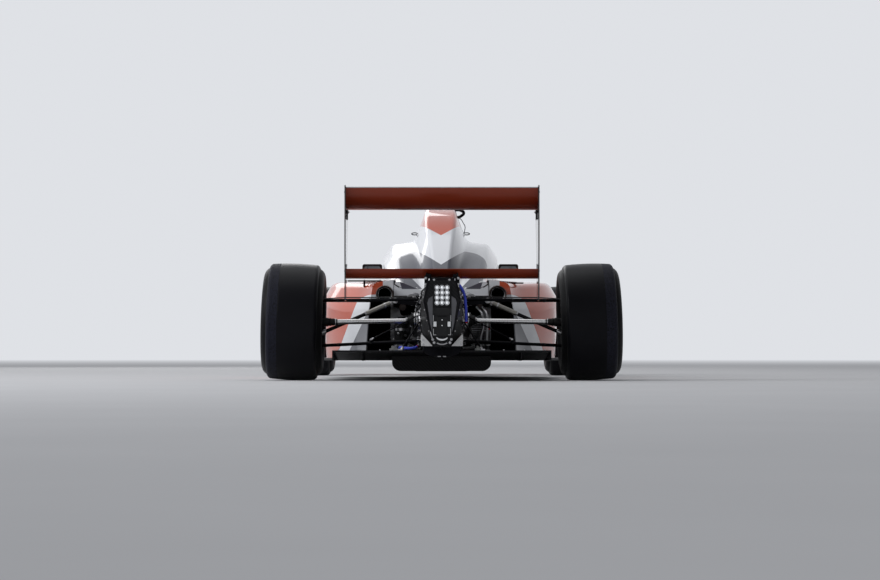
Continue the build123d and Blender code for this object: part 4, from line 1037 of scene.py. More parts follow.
# Right hand arms: carrier node, outer end from the hub, inner front and rear ends, half the chord
TUB, CASE = "monocoque", "gearbox_case"
ARMS = (
    (TUB, ("front", -0.109, -0.008, 0.1005), (0.17, 1.3, 0.432), (0.19, 0.95, 0.44), 13.5),
    (TUB, ("front", -0.095, 0.004, -0.1035), (0.12, 1.3, 0.196), (0.14, 0.94, 0.176), 14.5),
    (CASE, ("rear", -0.102, 0, 0.106), (0.095, -1.12, 0.402), (0.09, -1.56, 0.4), 14.5),
    (CASE, ("rear", -0.106, 0, -0.121), (0.1, -1.11, 0.198), (0.09, -1.57, 0.196), 15.5),
)


def each_arm():
    """Carrier node, outer end, inner end and half chord of every leg of every arm."""
    for node, outer, *inners, chord in ARMS:
        for inner in inners:
            for side in BOTH:
                yield node, *mirrored([hub_point(*outer), inner], side), chord


def arm_ends():
    """Clevis, rod end and lock nut where each arm meets the chassis."""
    ends = Piece("arm_clevises", "satin_black")
    nose = [(13 * cos(t), -10 - 7.8 * sin(t)) for t in (2.84, 2.24, 1.57, 0.9, 0.3)]
    lug = [(-15, 22), (-13, -10), *nose, (13, -10), (15, 22)]
    for node, outer, inner, _ in each_arm():
        reach = (inner - outer).normalized()
        joint = touch(node, outer, reach)[0] - reach * 0.017
        pin = aim(joint, (0, 0, 1), (reach.x, reach.y, 0))
        for z in (-0.0125, 0.0125):
            ends.use("satin_black").plate(lug, 3.5, pin @ spot(0, 0, z), 0.8)
        ends.use("steel").turned(collar(9.5, 11.8, -10.8, 10.8, 3.8), pin)
        for z, turn in ((0.0142, 0), (-0.0142, 180)):
            ends.bolt(pin @ spot(0, 0, z, (turn, 0, 0)), 5.5)
        along = aim(joint, -reach)
        ends.turned([*collar(9.8, 10.5, 20, 29, 1), (0, 29)], along, 6)
        ends.use("alloy").turned([(7.8, 8), (7.8, 22), (0, 22)], along, 14)
    ends.finish()


def arm_bands():
    """Tape bands round the arms."""
    bands = Piece("arm_bands", "boot")
    for _, outer, inner, chord in each_arm():
        oval = [(p.x * (chord * 0.5 + 1.2), p.y * (chord + 1.2)) for p in ring_points(1.0, 20)]
        for share in (0.22, 0.52):
            reach = inner - outer
            bands.plate(oval, 9, aim(outer + reach * share, reach, (0, 1, 0)), 0.3)
    bands.finish()


def pushrod_gaiters():
    """Pleated rubber gaiters where the front pushrods enter the tub."""
    gaiters = Piece("pushrod_gaiters", "boot")
    pleats = [(24.5, -10), (24, 2), (19.5, 5), (20.5, 9), (16.5, 12)]
    pleats += [(17.5, 16), (13.5, 19), (14, 27), (10, 29)]
    for side in BOTH:
        low, high = mirrored(FRONT_ROD, side)
        entry = aim(touch("monocoque", low, high - low)[0], low - high)
        gaiters.use("boot").turned(pleats, entry, 28)
        gaiters.use("steel").clamp(entry @ spot(0, 0, 0.0235), 14, 4)
    gaiters.finish()


def rear_links():
    """Rear pushrods' rod ends, lock nuts and hexagon adjusters, and the rockers' pivot bolts."""
    links = Piece("rear_pushrod_ends", "steel")
    rod = (hub_point("rear", -0.126, 0.03, -0.061), (0.232, -1.388, 0.396))
    for side in BOTH:
        a, b = mirrored(rod, side)
        axis, length = aim(a, b - a), (b - a).length / MM
        links.use("alloy").turned(shifted(collar(11.5, 12.8, 0, 12, 1), length * 0.6), axis, 6)
        links.turned([(10.5, 10), (12.5, 12), (12.5, 30), (9.5, 36)], axis, 18)
        links.turned(collar(10, 14.5, -15.5, 15.5, 3), facing(side * 0.232, -1.388, 0.398))
        links.use("steel").turned(shifted(collar(13.8, 15.36, 0, 12, 1), length - 30), axis, 6)
        links.turned(shifted(collar(12.5, 13.8, 0, 9, 1), length - 60), axis, 24)
        for way in BOTH:
            y, turn = -1.388 - way * 0.01247, (way * 90, 0, 0)
            links.bolt(spot(side * 0.229, y, 0.397, turn), 6.5)
            links.bolt(spot(side * 0.112, y, 0.398, turn), 8.5)
    links.finish()


def dampers():
    """Coil over dampers from the rockers forward along the case's shoulders."""
    units = Piece("rear_dampers", "alloy")
    turns, steps = 6, 14
    for side in BOTH:
        a, b = mirrored([(0.15, -1.372, 0.402), (0.128, -1.13, 0.418)], side)
        axis, length = aim(a, b - a), (b - a).length / MM
        seat = length * 0.7
        units.use("alloy").turned([(9, 0), (9, length * 0.5), (0, length * 0.5)], axis, 16)
        cup = [(19, seat), (31.5, seat), (31.5, length * 0.74), (21, length * 0.75)]
        units.turned(cup, axis, 28)
        units.turned([(10, 18), (28.5, 18), (28.5, 26), (10, 28)], axis, 28)
        body = [(19, length * 0.42), (21, length * 0.43), (21, length - 22), (16, length - 12)]
        units.use("satin_black").turned([*body, (12, length), (0, length)], axis, 24)
        coil = []
        for i in range(turns * steps + 1):
            turn, rise = 2 * pi * i / steps, 29 + (seat - 33) * i / (turns * steps)
            coil.append(axis @ (Vector((27.5 * cos(turn), 27.5 * sin(turn), rise)) * MM))
        units.use("spring").tube(coil, 3.8, 8, 1)
        for z in (-4, length + 4):
            eye = axis @ spot(0, 0, z * MM, (0, 90, 0))
            units.use("steel").turned(collar(6, 10.5, -12, 12, 4), eye, 16)
    units.finish()


def brake_lines():
    """Thin brake lines along the upper rear arms to each caliper."""
    lines = Piece("brake_lines_rear", "hose")
    _, outer, _, aft, _ = ARMS[2]
    outer, aft = hub_point(*outer), Vector(aft)
    near = [(-0.072, -0.088, 0.02), (-0.095, -0.095, 0.055), (-0.118, -0.06, 0.105)]
    route = [hub_point("rear", *place) for place in near]
    route += [outer.lerp(aft, s) + Vector((0, -0.004, 0.0125)) for s in (0.25, 0.5, 0.75, 0.93)]
    for side in BOTH:
        points = mirrored(route, side)
        lines.use("hose").tube(points, 2.9, 8, 4)
        first, last = points[:2], points[:-3:-1]
        for (end, ahead), profile in (
            (first, [(5.2, 0), (5.2, 10), (3.6, 14)]),
            (last, [(4.8, 0), (4.8, 12), (3.4, 16)]),
        ):
            lines.use("alloy").turned(profile, aim(end, ahead - end), 6)
    lines.finish()


def each_hub():
    """End, side name, side and centre frame of every wheel, its z pointing out of the car."""
    for end, axle in AXLES.items():
        tilt = radians(axle["camber"])
        for name, side in SIDES.items():
            centre, out = (side * axle["x"], axle["y"], axle["z"]), (side * cos(tilt), 0, sin(tilt))
            yield end, name, side, aim(centre, out, (0, 1, 0))


def wheel_hardware():
    """Centre lock nut, drive pegs, valve, balance weights and the bright lip of each rim."""
    nut = [(31, -10), (34, -7), (34, -1), (30, 2.5), (19, 2.5), (17, -1)]
    for end, name, side, hub in each_hub():
        half = AXLES[end]["rim"] / 2 / MM
        kit = Piece(f"wheel_kit_{end}_{name}", "alloy", f"{end}_{name}_wheel")

        def on_face(place):
            """Frame on the wheel's outer face below a frame of the hub."""
            inward = hub.to_3x3() @ Vector((0, 0, -1))
            point, _ = touch(f"wheel_{end}_{name}", place @ Vector((0, 0, 0.3)), inward)
            return place @ spot(0, 0, (hub.inverted() @ point).z)

        kit.use("nut_red" if side < 0 else "nut_blue").turned(nut, on_face(hub), 36)
        for peg in around(hub, 6, 47):
            kit.use("steel").turned(stud(6.8, 5.6, -3, 4, 5.5), on_face(peg), 16)
        lip = [(172.5, -4.5), (177.5, -3), (178.7, 0.4), (176.8, 1.6), (172, -0.5)]
        for way in BOTH:
            ring = [(r, (z + half) * way) for r, z in lip]
            kit.use("alloy").turned(closed(ring), hub, 64)
        for turn in (118, 131):
            rim = hub @ spot(0, 0, (35 - half) * MM, (0, 0, turn))
            kit.box((4, 22, 16), rim @ spot(0.1495, 0, 0))
        stem = hub @ spot(0.15, 0.01, (half - 30) * MM, (0, -28, 0))
        valve = [(4.2, -6), (4.2, 16), (5, 17), (5, 28), (3.6, 30), (0, 30)]
        kit.use("steel").turned(valve, stem, 14)
        kit.finish()


def calipers():
    """Bleed screws and piston caps on each caliper."""
    for end, name, side, hub in each_hub():
        axle = AXLES[end]
        body = f"front_{name}_knuckle" if end == "front" else "chassis"
        kit = Piece(f"caliper_kit_{end}_{name}", "steel", body)
        disc = -axle["rim"] * DISC_SHARE
        out = hub.inverted() @ Vector((side * axle["x"], axle["y"] - 0.108, axle["z"]))
        out = Vector((out.x, out.y, 0)).normalized()
        along = Vector((-out.y, out.x, 0))
        for step in (-0.026, 0.026):
            top = out * 0.1335 + along * step + Vector((0, 0, disc))
            kit.use("steel").bolt(hub @ aim(top, out), 4.8)
            for way in BOTH:
                cap = out * 0.112 + along * step + Vector((0, 0, disc + way * 0.02585))
                place = hub @ aim(cap, (0, 0, way), out)
                kit.use("alloy").turned(stud(15, 13.5, -1, 1.8, 2.6), place, 24)
        kit.finish()


# Bodywork trim and wings

def cover_trim():
    """Quarter turn fasteners and the slanting shut lines of the engine cover."""
    trim, node = Piece("cover_fasteners", "steel"), "engine_cover"
    for side in BOTH:
        for y, z in ((-0.34, 0.5), (-0.52, 0.482), (-0.7, 0.472), (-0.88, 0.462), (-1.04, 0.452)):
            trim.button(flank(node, side * 0.7, y, z), 7.5)
        for x, z in ((0.055, 0.778), (0.125, 0.778), (0.2, 0.786)):
            trim.button(roof(node, side * x, -1.098, z), 6.5)
    trim.finish()
    lines = Piece("cover_shut_lines", "seam")
    slash = ((0.262, -2.5, 0.502), (0.245, -2.5, 0.492), (0.226, -2.5, 0.481), (0.205, -2.5, 0.47))
    for side in BOTH:
        lines.tube(traced(node, mirrored(slash, side), (0, 1, 0), 0.0004), 1.4, 6, 3)
    lines.finish()


def intake_trim():
    """Rolled lip of the airbox mouth."""
    lip = Piece("airbox_lip", "orange")
    right = [(0.02, 0.4, 0.9135), (0.0465, 0.4, 0.906), (0.058, 0.4, 0.802)]
    rim = mirrored(right, -1)[::-1] + right
    lip.tube(traced("engine_cover", rim, (0, -1, 0), 0.001), 3.5, 8, 6)
    lip.finish()


def mirror_faces():
    """Mirror glass in its frame, facing the driver, with the adjusting screws."""
    for name, side in SIDES.items():
        kit = Piece(f"mirror_glass_{name}", "mirror")
        point, _ = touch("mirrors", (side * 0.385, -0.6, 0.612), (0, 1, 0))
        face = facing(side * 0.385, point.y, 0.612)
        kit.plate(rounded(92, 30, 10), 2, face @ spot(0, 0, 0.0004))
        bezel = rounded(100, 38, 13), 4, face @ spot(0, 0, 0.0006), 1.2, rounded(90, 28, 9)
        kit.use("plastic").plate(*bezel)
        for x in BOTH:
            kit.use("steel").cap_screw(face @ spot(x * 0.0467875, 0, 0.0022), 1.6)
        kit.finish()


def pod_trim():
    """Side pod fasteners and the slim bar that stands over each rear deck, the right one painted
    shade of that pod's rear edge, with a pale strip under the left one as painted highlight of its
    sunlit edge.
    """
    trim = Piece("pod_fasteners", "steel")
    for name, side in SIDES.items():
        for y in (0.2, 0.0, -0.2, -0.42, -0.66, -0.9):
            trim.button(flank(f"sidepod_{name}", side * 0.9, y, 0.128), 7.5)
            if y > -0.9:
                trim.button(roof(f"sidepod_{name}", side * 0.3, y, 0.9), 6.5)
    trim.finish()
    strips = Piece("pod_deck_strips", "satin_black")
    # Pale strip on the left deck: painted highlight of the pod's sunlit rear edge.
    strips.use("pale").box((106, 10, 3), spot(-0.365, -0.95, 0.4965), 0.8)
    left = ("left", -0.398, -0.95, 178, 0.5106, (-0.318, -0.4))
    # The left bar stands over the deck; the dark right bar stands in for the shaded rear edge of
    # the right pod: painted shade.
    right = ("right", 0.375, -0.93, 110, 0.5, (0.335, 0.385))
    for name, middle, y, wide, level, posts in (left, right):
        strips.use("satin_black").box((wide, 16, 7), spot(middle, y, level), 2)
        for x in posts:
            foot = below(f"sidepod_{name}", x, y, 1.2)
            tall = level - 0.0016 - foot.z
            if tall > MM:
                post = spot(x, y, foot.z + tall / 2)
                strips.use("satin_black").box((10, 12, tall / MM), post, 1.5)
            strips.use("steel").bolt(spot(x, y, level + 0.0032), 3.2)
    strips.finish()


def wing_trim():
    """Endplate screws, flap adjusters, the upper flap's gurney strip and the bracket bolts; the
    strip's bright alloy is a painted highlight of the wing's top edge.
    """
    bolts = Piece("rear_wing_bolts", "steel")
    rows = [(-1.99, 0.905), (-1.93, 0.868), (-1.86, 0.852), (-1.78, 0.852)]
    rows += [(-1.97, 0.528), (-1.89, 0.508)]
    for side in BOTH:
        out = Vector((side, 0, 0))
        for y, z in rows:
            seat, _ = touch("rear_wing_endplates", (side * 0.6, y, z), -out)
            bolts.use("steel").cap_screw(aim(seat - out * 0.0026, out), 4.6)
        for y in (-1.925, -1.845):
            bolts.use("satin_black").box((8, 18, 14), spot(side * 0.4552, y, 0.816), 1.5)
            bolts.tube([(side * 0.456, y, z) for z in (0.812, 0.795, 0.778)], 2.2, 8, 2)
            bolts.use("steel").bolt(aim((side * 0.4515, y, 0.816), -out), 3.4)
    bolts.finish()
    # Bright alloy gurney strip and screws on the upper flap: the strip's brightness is painted
    # highlight of light on the wing's top edge.
    edges = Piece("rear_wing_edges", "alloy")
    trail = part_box("rear_wing_upper")[1].z
    point, _ = touch("rear_wing_upper", (0.1, -2.3, trail - 0.003), (0, 1, 0))
    edges.box((915, 2.6, 4.5), spot(0, point.y + 0.0004, trail - 0.0022), 0.5)
    for i in range(-4, 5):
        edges.use("steel").cap_screw(facing(0.105 * i, point.y - 0.0006, trail - 0.0048), 1.8)
    edges.finish()
    brackets = Piece("beam_bracket_bolts", "steel")
    for side in BOTH:
        for z in (0.492, 0.463, 0.425, 0.398):
            brackets.use("steel").bolt(facing(side * 0.078, -1.9901, z), 4.2)
        for y in (-1.955, -1.925):
            for z in (0.44, 0.41):
                brackets.bolt(aim((side * 0.077, y, z), (side, 0, 0)), 4)
        brackets.use("satin_black").box((26, 12, 18), spot(side * 0.066, -1.985, 0.503), 2)
    brackets.finish()


def floor_trim():
    """Diffuser stays, fasteners of the diffuser and floor edges, and the plank's skid bolts."""
    stays = Piece("diffuser_stays", "satin_black")
    for side in BOTH:
        foot = below("diffuser", side * 0.2, -1.8, 0.6)
        top = Vector((side * 0.085, -1.76, 0.3))
        top, _ = touch("crash_structure", foot + Vector((0, 0, 0.02)), top - foot)
        reach = top - foot
        a, b = foot + reach.normalized() * 0.012, top - reach.normalized() * 0.008
        stays.use("satin_black").tube([a, (a + b) / 2, b], 4.5, 12, 2)
        for end, way in ((a, -reach), (b, reach)):
            stays.use("steel").turned(collar(4.5, 6.8, -12, 8, 4), aim(end, way), 12)
        stays.use("alloy").box((20, 16, 10), aim(foot + Vector((0, 0, 0.005)), (0, 0, 1)), 2)
    stays.finish()
    bolts = Piece("floor_bolts", "steel")
    for side in BOTH:
        for x in (0.3, 0.4, 0.5):
            bolts.bolt(roof("diffuser", side * x, -1.825, 0.4), 4.5)
        for y in (-1.17, -1.12):
            for x in (0.3, 0.45):
                bolts.button(roof("floor_panel", side * x, y, 0.35), 7)
        for y in (-0.95, -0.7, -0.45, -0.2, 0.05, 0.24):
            bolts.button(roof("floor_panel", side * 0.604, y, 0.4), 6)
    for y in (-1.05, -0.8, -0.4, 0.0, 0.35):
        for x in (-0.09, 0.09):
            skid = [(10.5, -1), (10.5, 0.4), (5, 0.4), (5, -0.8), (0, -0.8)]
            bolts.turned(skid, on_surface("plank", (x, y, 0.0), (0, 0, 1)))
    bolts.finish()


def front_wing_trim():
    """Flap adjusters, endplate screws and the fasteners at the nose's joint."""
    kit = Piece("front_wing_bolts", "steel")
    fore = (0, 1, 0)
    for side in BOTH:
        for y, z in ((1.9, 0.135), (1.97, 0.128), (2.03, 0.124), (1.83, 0.165), (1.76, 0.205)):
            kit.use("steel").cap_screw(flank("front_wing_endplates", side * 0.9, y, z), 4.2)
        for y, z in ((1.865, 0.15), (1.78, 0.185), (1.74, 0.215)):
            kit.cap_screw(on_surface("front_wing_flaps", (side * 0.05, y, z), (side, 0, 0)), 3.6)
        for y, node in ((1.355, "nose_cone"), (1.3, "monocoque")):
            for z in (0.42, 0.3 if y > 1.3 else 0.32):
                kit.button(flank(node, side * 0.4, y, z), 8)
        for x in (0.3, 0.48):
            block = roof("front_wing_flaps", side * x, 1.83, 0.5, 0.004, fore)
            kit.use("alloy").box((6, 60, 12), block, 1.5)
            kit.use("steel").bolt(roof("front_wing_flaps", side * x, 1.845, 0.5, 0.009, fore), 3.8)
    kit.finish()


# Engine bay seen past the gearbox

def manifold():
    """Two header pipes on each side of the block."""
    for name, side in SIDES.items():
        pipes = Piece(f"header_pipes_{name}", "exhaust")
        for i in range(2):
            y = -0.66 - 0.13 * i
            run = [(0.117, y, 0.352), (0.175 + 0.012 * i, y - 0.03, 0.358)]
            run += [(0.188 + 0.008 * i, y - 0.09, 0.35), (0.196, -0.9, 0.352 + 0.012 * i)]
            points = mirrored([*run, (0.2, -0.985, 0.372)], side)
            pipes.tube(points, 18.5, 14)
            flange = [(18.5, -2), (34, -2), (34, 8), (18.5, 10)]
            pipes.turned(flange, aim(points[0], (side, 0, 0)), 24)
        pipes.finish()


def coolant():
    """Coolant pipes, their rubber joints and clamps, and the catch tank with its bright straps."""
    pipes = Piece("coolant_pipes", "alloy")
    for x, y, bow in ((0.203, -1.118, 0.015), (0.234, -1.128, 0.002)):
        points = [(x, y, 0.15), (x, y, 0.21), (x + bow, y + 0.004, 0.275)]
        points += [(x + bow / 2, y + 0.02, 0.335), (x - 0.02, y + 0.06, 0.372)]
        pipes.use("alloy").tube(points, 7.8, 14)
        joint = spot(x, y, 0.162)
        base = [(x, y, 0.14), (x, y + 0.006, 0.128), (x, y + 0.03, 0.122), (x, y + 0.1, 0.122)]
        pipes.use("hose").turned([(9.2, -30), (10.6, -22), (10.6, 22), (9.2, 26)], joint)
        pipes.tube(base, 9.4, 14)
        for z in (0.014, -0.014):
            pipes.use("steel").clamp(joint @ spot(0, 0, z), 10.6, 7)
    pipes.finish()
    tank = Piece("catch_tank", "boot")
    place = spot(-0.205, -1.095, 0.12)
    shell = [(30, 0), (36, 4), (36, 165), (33, 176), (18, 181)]
    neck = [(18, 190), (20, 191), (20, 202), (0, 202)]
    tank.turned(shell + neck, place, 32)
    for z in (45, 130):
        tank.use("alloy").turned(collar(36.2, 37.4, z, z + 13), place, 32)
        tank.box((50, 10, 12), place @ spot(0.052, 0, (z + 6.5) * MM), 2)
    for turn, r in ((210, 6), (250, 4.5), (300, 5.5)):
        a = radians(turn)
        port = around(place, 1, 34, 105 + 20 * sin(a * 3), turn)[0].translation
        fitting = [(r, 0), (r, 6), (r * 1.3, 7), (r * 1.3, 14), (r * 0.8, 15), (0, 15)]
        tank.turned(fitting, aim(port, (cos(a), sin(a), 0)), 6)
    tank.finish()


BLUE_RUNS = (
    (
        (0.03, -1.74, 0.487),
        (0.055, -1.76, 0.484),
        (0.085, -1.775, 0.465),
        (0.108, -1.77, 0.425),
        (0.1155, -1.755, 0.38),
        (0.1185, -1.745, 0.32),
        (0.1175, -1.735, 0.268),
    ),
    (
        (-0.108, -1.63, 0.172),
        (-0.135, -1.655, 0.16),
        (-0.165, -1.66, 0.158),
        (-0.195, -1.64, 0.162),
        (-0.208, -1.56, 0.16),
        (-0.206, -1.4, 0.15),
        (-0.19, -1.2, 0.15),
    ),
)
# Right hand looms: radius and points
LOOMS = (
    (4.5, (0.09, -1.12, 0.415), (0.1, -1.35, 0.432), (0.098, -1.55, 0.44), (0.082, -1.7, 0.452)),
    (5.2, (0.128, -1.08, 0.3), (0.15, -1.16, 0.26), (0.146, -1.3, 0.215), (0.118, -1.44, 0.205)),
    (6.5, (0.15, -1.06, 0.2), (0.165, -1.14, 0.185), (0.158, -1.3, 0.165), (0.1, -1.5, 0.158)),
    (3.5, (0.105, -1.6, 0.335), (0.124, -1.66, 0.34), (0.121, -1.72, 0.372), (0.102, -1.78, 0.405)),
)


def hoses():
    """Blue oil hoses with red fittings, and black looms with pale ties around the case."""
    lines = Piece("blue_hoses", "blue_hose")
    for run in BLUE_RUNS:
        lines.use("blue_hose").tube(run, 7.2, 12, 6)
        for end, ahead in (run[:2], run[:-3:-1]):
            fitting = aim(end, Vector(ahead) - Vector(end))
            lines.use("alloy").turned([(7.8, -6), (9.2, -2), (9.2, 10), (8, 13)], fitting, 6)
            lines.use("nut_red").turned(collar(7.9, 8.6, 13, 21, 1), fitting, 14)
    lines.finish()
    loom = Piece("wiring_loom", "hose")
    for side in BOTH:
        for radius, *run in LOOMS:
            points = mirrored(run, side)
            loom.use("hose").tube(points, radius)
            line = smooth_line(points, 5)
            for share in (0.3, 0.7):
                a, b = line[int(share * (len(line) - 2)) :][:2]
                tie = collar(radius + 0.2, radius + 1.2, -2, 2)
                loom.use("pale").turned(tie, aim(a, b - a), 12)
    loom.finish()


def bay_units():
    """Starter, oil cooler, and the brackets on the floor behind the engine."""
    units = Piece("starter_motor", "dark_cast")
    place = aim((-0.17, -1.055, 0.25), (0, -1, 0))
    units.turned([(34, -30), (34, 45), (30, 52), (12, 54), (12, 66), (6, 67), (0, 67)], place, 32)
    for seat in around(place, 6, 26, 51.5):
        units.use("steel").bolt(seat, 3.4)
    units.use("alloy").turned(stud(16.5, 12, -20, 34, 40), place @ spot(-0.046, 0.022, 0), 22)
    units.box((60, 50, 10), place @ spot(0.004, 0, -0.028), 3)
    units.finish()
    cooler = Piece("oil_cooler", "dark_cast")
    for i in range(13):
        cooler.box((98, 44, 3.6), spot(0.19, -1.045, 0.142 + 0.0115 * i), 0.8, 1)
    for x in (0.136, 0.244):
        cooler.use("dark_cast").box((12, 48, 152), spot(x, -1.045, 0.211), 3)
        union = [(9, 0), (10.5, 2), (10.5, 12), (7, 16), (7, 24)]
        cooler.use("nut_red").turned(union, facing(x, -1.068, 0.262), 6)
    cooler.finish()
    feet = Piece("floor_brackets", "pale_cast")
    for x, wide in ((-0.236, 46), (0.184, 38)):
        ground = below("diffuser", x, -1.5, 0.5)
        feet.use("pale_cast").box((wide, 30, 34), spot(x, -1.5, ground.z + 0.0165), 3)
        feet.box((wide * 0.6, 16, 18), spot(x, -1.5, ground.z + 0.038), 3)
        for way in BOTH:
            screw = facing(x + way * 0.3 * wide * MM, -1.5152, ground.z + 0.016)
            feet.use("steel").cap_screw(screw, 4.2)
    for x in (-0.36, -0.31, 0.33, 0.4):
        ground = below("diffuser", x, -1.42, 0.5)
        feet.use("alloy").box((30, 20, 12), spot(x, -1.42, ground.z + 0.0055), 2)
        feet.use("steel").bolt(spot(x, -1.42, ground.z + 0.011), 4.5)
    feet.finish()


def shift_actuator():
    """Gear shift cylinder and its brackets along the left of the case."""
    unit = Piece("shift_actuator", "alloy")
    a, b = Vector((-0.123, -1.22, 0.355)), Vector((-0.121, -1.34, 0.35))
    axis = aim(a, b - a)
    unit.turned([*collar(12, 13.5, 0, 82, 2), (6, 83), (6, 120), (0, 120)], axis, 24)
    unit.use("boot").turned(collar(14.2, 14.8, 6, 18, 2), axis, 24)
    for y, z in ((-1.225, 0.352), (-1.336, 0.35)):
        unit.use("satin_black").box((22, 12, 22), spot(-0.112, y, z), 2)
    unit.use("steel").bolt(aim((-0.124, -1.336, 0.35), (-1, 0, 0)), 5)
    unit.finish()


# Cockpit

def head_pad():
    """Collar of moulded foam under a stitched skin, swollen from the CAD collar's shape."""
    mesh = NODES["head_surround"].data.copy()
    mesh.name = "head_pad"
    pad = new_object("head_pad", mesh)
    shape = bmesh.new()
    shape.from_mesh(mesh)
    bmesh.ops.remove_doubles(shape, verts=shape.verts, dist=0.0002)
    shape.to_mesh(mesh)
    shape.free()
    remesh = pad.modifiers.new("even mesh", "REMESH")
    remesh.mode = "VOXEL"
    remesh.voxel_size = 0.006
    soften = pad.modifiers.new("rounded", "SMOOTH")
    soften.factor = 0.5
    soften.iterations = 6
    graph = bpy.context.evaluated_depsgraph_get()
    mesh = bpy.data.meshes.new_from_object(pad.evaluated_get(graph))
    pad.modifiers.clear()
    pad.data = mesh
    low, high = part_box("head_surround")
    margin = Vector((0.0003, 0.0003, 0.0003))
    relief = bmesh.new()
    relief.from_mesh(mesh)
    for vertex in relief.verts:
        x, y, _ = vertex.co
        seam = abs((abs(x) + y * 0.15) * 16.0 % 1.0 - 0.5)
        channel = 0.0022 * exp(-((seam * 22.0) ** 2))
        crown = 0.00048 * sin(y * 60.0) * sin(x * 45.0)
        place = vertex.co + vertex.normal * (crown - channel)
        limits = zip(place, low + margin, high - margin)
        vertex.co = [min(max(value, least), most) for value, least, most in limits]
    relief.to_mesh(mesh)
    relief.free()
    mesh.polygons.foreach_set("use_smooth", [True] * len(mesh.polygons))
    mesh.materials.clear()
    mesh.materials.append(MATERIALS["pad"].material)
    subdivide = pad.modifiers.new("smooth", "SUBSURF")
    subdivide.levels = subdivide.render_levels = 1
    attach(pad, "chassis")
    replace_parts(pad, "head_surround")


def belts():
    """Shoulder and lap straps with their buckle and adjusters."""
    straps = Piece("harness_straps", "webbing")
    buckle = Vector((0, 0.075, 0.268))
    for side in BOTH:
        starts = [(side * (0.052 + 0.1 * (z - 0.3)), 0.3, z) for z in (0.53, 0.46, 0.39, 0.33)]
        down = traced("seat", starts, (0, -1, -0.25), 0.007)
        end = buckle + Vector((side * 0.02, -0.012, 0.01))
        straps.use("webbing").ribbon([*down, end], 48, 2.6, (1, 0, 0))
        hips = ((0.15, -0.02), (0.128, 0.01), (0.095, 0.04), (0.055, 0.066))
        lap = [below("seat", side * x, y, 0.6) + Vector((0, 0, 0.009)) for x, y in hips]
        straps.ribbon([*lap, buckle + Vector((side * 0.024, 0, 0.004))], 45, 2.6, (0, 1, 0.4))
        adjuster = aim(down[2] + Vector((0, 0.003, 0)), (0, 1, 0.4))
        straps.use("steel").box((58, 7, 30), adjuster, 2)
    axis = aim(buckle, (0, 0.35, 1))
    disc = [(26, -10), (31, -6), (31, 6), (27, 10), (14, 12), (0, 12)]
    straps.use("alloy").turned(disc, axis, 32)
    straps.use("nut_red").box((12, 44, 5), axis @ spot(0, 0, 0.0135), 2)
    straps.finish()


def wheel_details():
    """Steering wheel buttons, rotary knobs and a blank dark display."""
    foot, top = Vector((0.0, 1.276, 0.272)), Vector((0.0, 0.395, 0.548))
    back = (top - foot).normalized()
    face = aim(top, back)
    kit = Piece("steering_wheel_controls", "plastic", "wheel_and_column")

    def seat(x, y):
        """Frame on the wheel's front."""
        point, _ = touch("steering_wheel", face @ Vector((x, y, 0.25)), -back)
        return face @ spot(x, y, (face.inverted() @ point).z)

    display = seat(0, 0.028) @ spot(0, 0.002, 0)
    glass = rounded(70, 34, 4)
    kit.plate(rounded(78, 42, 6), 5, display @ spot(0, 0, 0.0008), 1.5, glass)
    kit.use("screen").plate(glass, 4, display @ spot(0, 0, 0.001), 1)
    rows = (60, 30, "nut_red", "nut_blue"), (60, 0, "pale", "orange"), (45, -30, "pale", "nut_red")
    for x, y, *tints in rows:
        for way, tint in zip((-1, 1), tints):
            place = seat(way * x * MM, y * MM)
            kit.use("steel").turned([(8.5, -1), (8.5, 2.5), (6.8, 3.5), (6, 2)], place)
            kit.use(tint).turned(stud(5.8, 4.8, -1, 4, 5.4)[:3] + [(0, 5.8)], place, 18)
    for x in (-0.018, 0.018):
        knob = [(10.5, -1), (10.5, 3), (8.6, 11), (7.8, 12), (0, 12)]
        kit.use("alloy").turned(knob, seat(x, -0.012), 12)
    kit.finish()


def dash():
    """Rolled lip at the front of the cockpit opening."""
    screen = Piece("cockpit_lip", "plastic")
    tops = [(0.05 * i, 0.555 - 0.1 * (i / 3) ** 2) for i in range(-3, 4)]
    points = [below("monocoque", x, y, 1.0) + Vector((0, 0, 0.006)) for x, y in tops]
    screen.ribbon(points, 22, 3, (0, -0.35, 1))
    screen.finish()


# Camera, floor and light

def make_camera():
    """Low behind the car, as far back as the photograph's long lens puts it."""
    data = bpy.data.cameras.new("camera")
    data.lens = 98.2
    data.sensor_width = 36.0
    data.clip_end = 200.0
    camera = new_object("camera", data)
    camera.location = (-0.05, REAR_AXLE - CAMERA_BACK, 0.1325)
    camera.rotation_euler = (radians(90 + CAMERA_PITCH), 0, radians(CAMERA_TURN))
    bpy.context.scene.camera = camera


def sky_level(x, y, top):
    """Strength of the sky in one direction: full ahead and to the left, less elsewhere."""
    right = 1.0 - x.over(0.55, 0.6) * (1.0 - SKY_RIGHT)
    behind = 1.0 - (y * -1.0).over(0.45, 0.5) * (1.0 - SKY_BEHIND)
    return right * behind * (1.0 - top * (1.0 - SKY_TOP)) * SKY_STRENGTH


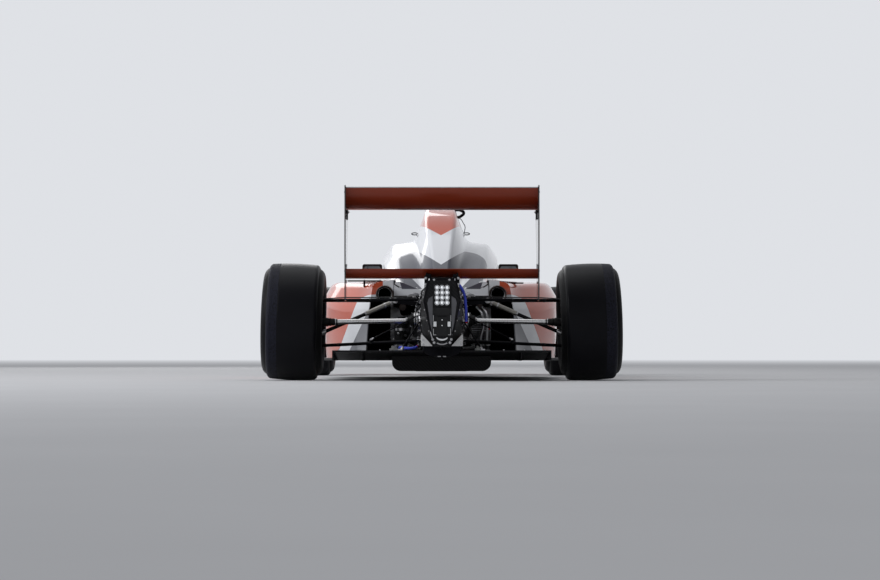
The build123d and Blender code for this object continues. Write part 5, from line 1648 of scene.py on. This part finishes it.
def make_floor():
    """Pale round floor that fades into the pale sky far out, the same on every side."""
    loops = [ring_points(radius, 96) for radius in FLOOR_RINGS]
    shape = skin([[Vector((0, 0, 0))], *loops], caps=False)
    bmesh.ops.reverse_faces(shape, faces=shape.faces)
    mesh = bpy.data.meshes.new("floor")
    shape.to_mesh(mesh)
    shape.free()
    floor = new_object("floor", mesh)
    graph = Graph("floor_grey", specular=0.0, glow_colour=SKY)
    reach = (graph.x * graph.x + graph.y * graph.y).root() + 0.01
    far = reach.over(FADE_MIDDLE, FADE_WIDTH)
    grey = graph.noise(1.6, 4.0), (0.65, 0.65, 0.66)
    graph.surface(graph.layers((0.6, 0.6, 0.61), grey, (far, (0.0, 0.0, 0.0))), 0.75)
    graph.feed(glow=far * sky_level(graph.x / reach, graph.y / reach, 0.0))
    mesh.materials.append(graph.material)


def area_light(name, place, target, size, power, tint=(1, 1, 1)):
    data = bpy.data.lights.new(name, "AREA")
    data.shape = "RECTANGLE"
    data.size, data.size_y = size
    data.energy = power
    data.color = tint
    light = new_object(name, data)
    light.location = place
    light.rotation_euler = (Vector(target) - Vector(place)).to_track_quat("-Z", "Y").to_euler()


def make_light():
    """Pale sky that is dimmer to the right, behind and overhead, and three soft lamps."""
    world = bpy.data.worlds.new("world")
    bpy.context.scene.world = world
    world.use_nodes = True
    sky = world.node_tree.nodes["Background"].inputs
    dome = Dome(world.node_tree)
    dome.plug(sky["Color"], SKY)
    dome.plug(sky["Strength"], sky_level(dome.x, dome.y, dome.z.over(0.42, 0.35)))
    area_light("key", (-8, -5, 5), (0, -1.4, 0.3), (6, 5), 420, (0.95, 0.97, 1.0))
    area_light("top", (-2, 0.5, 7), (0, 0, 0), (7, 7), 110)
    area_light("front", (-3, 9, 5), (0, 0.8, 0.3), (6, 4), 140)
    bpy.context.scene.view_settings.view_transform = "Standard"


BUILD_ORDER = (
    (make_camera, make_floor, make_light, finish_nodes),
    (rain_light, tail_panel, tail_seams, gearbox_hardware, tail_cradle, gearbox_feet),
    (driveshaft_boots, exhaust_tips, roll_bar_links, arm_ends, arm_bands, pushrod_gaiters),
    (rear_links, dampers, brake_lines, wheel_hardware, calipers),
    (cover_trim, intake_trim, mirror_faces, pod_trim, wing_trim, floor_trim, front_wing_trim),
    (manifold, coolant, hoses, bay_units, shift_actuator),
    (head_pad, belts, wheel_details, dash),
)
for group in BUILD_ORDER:
    for build in group:
        build()
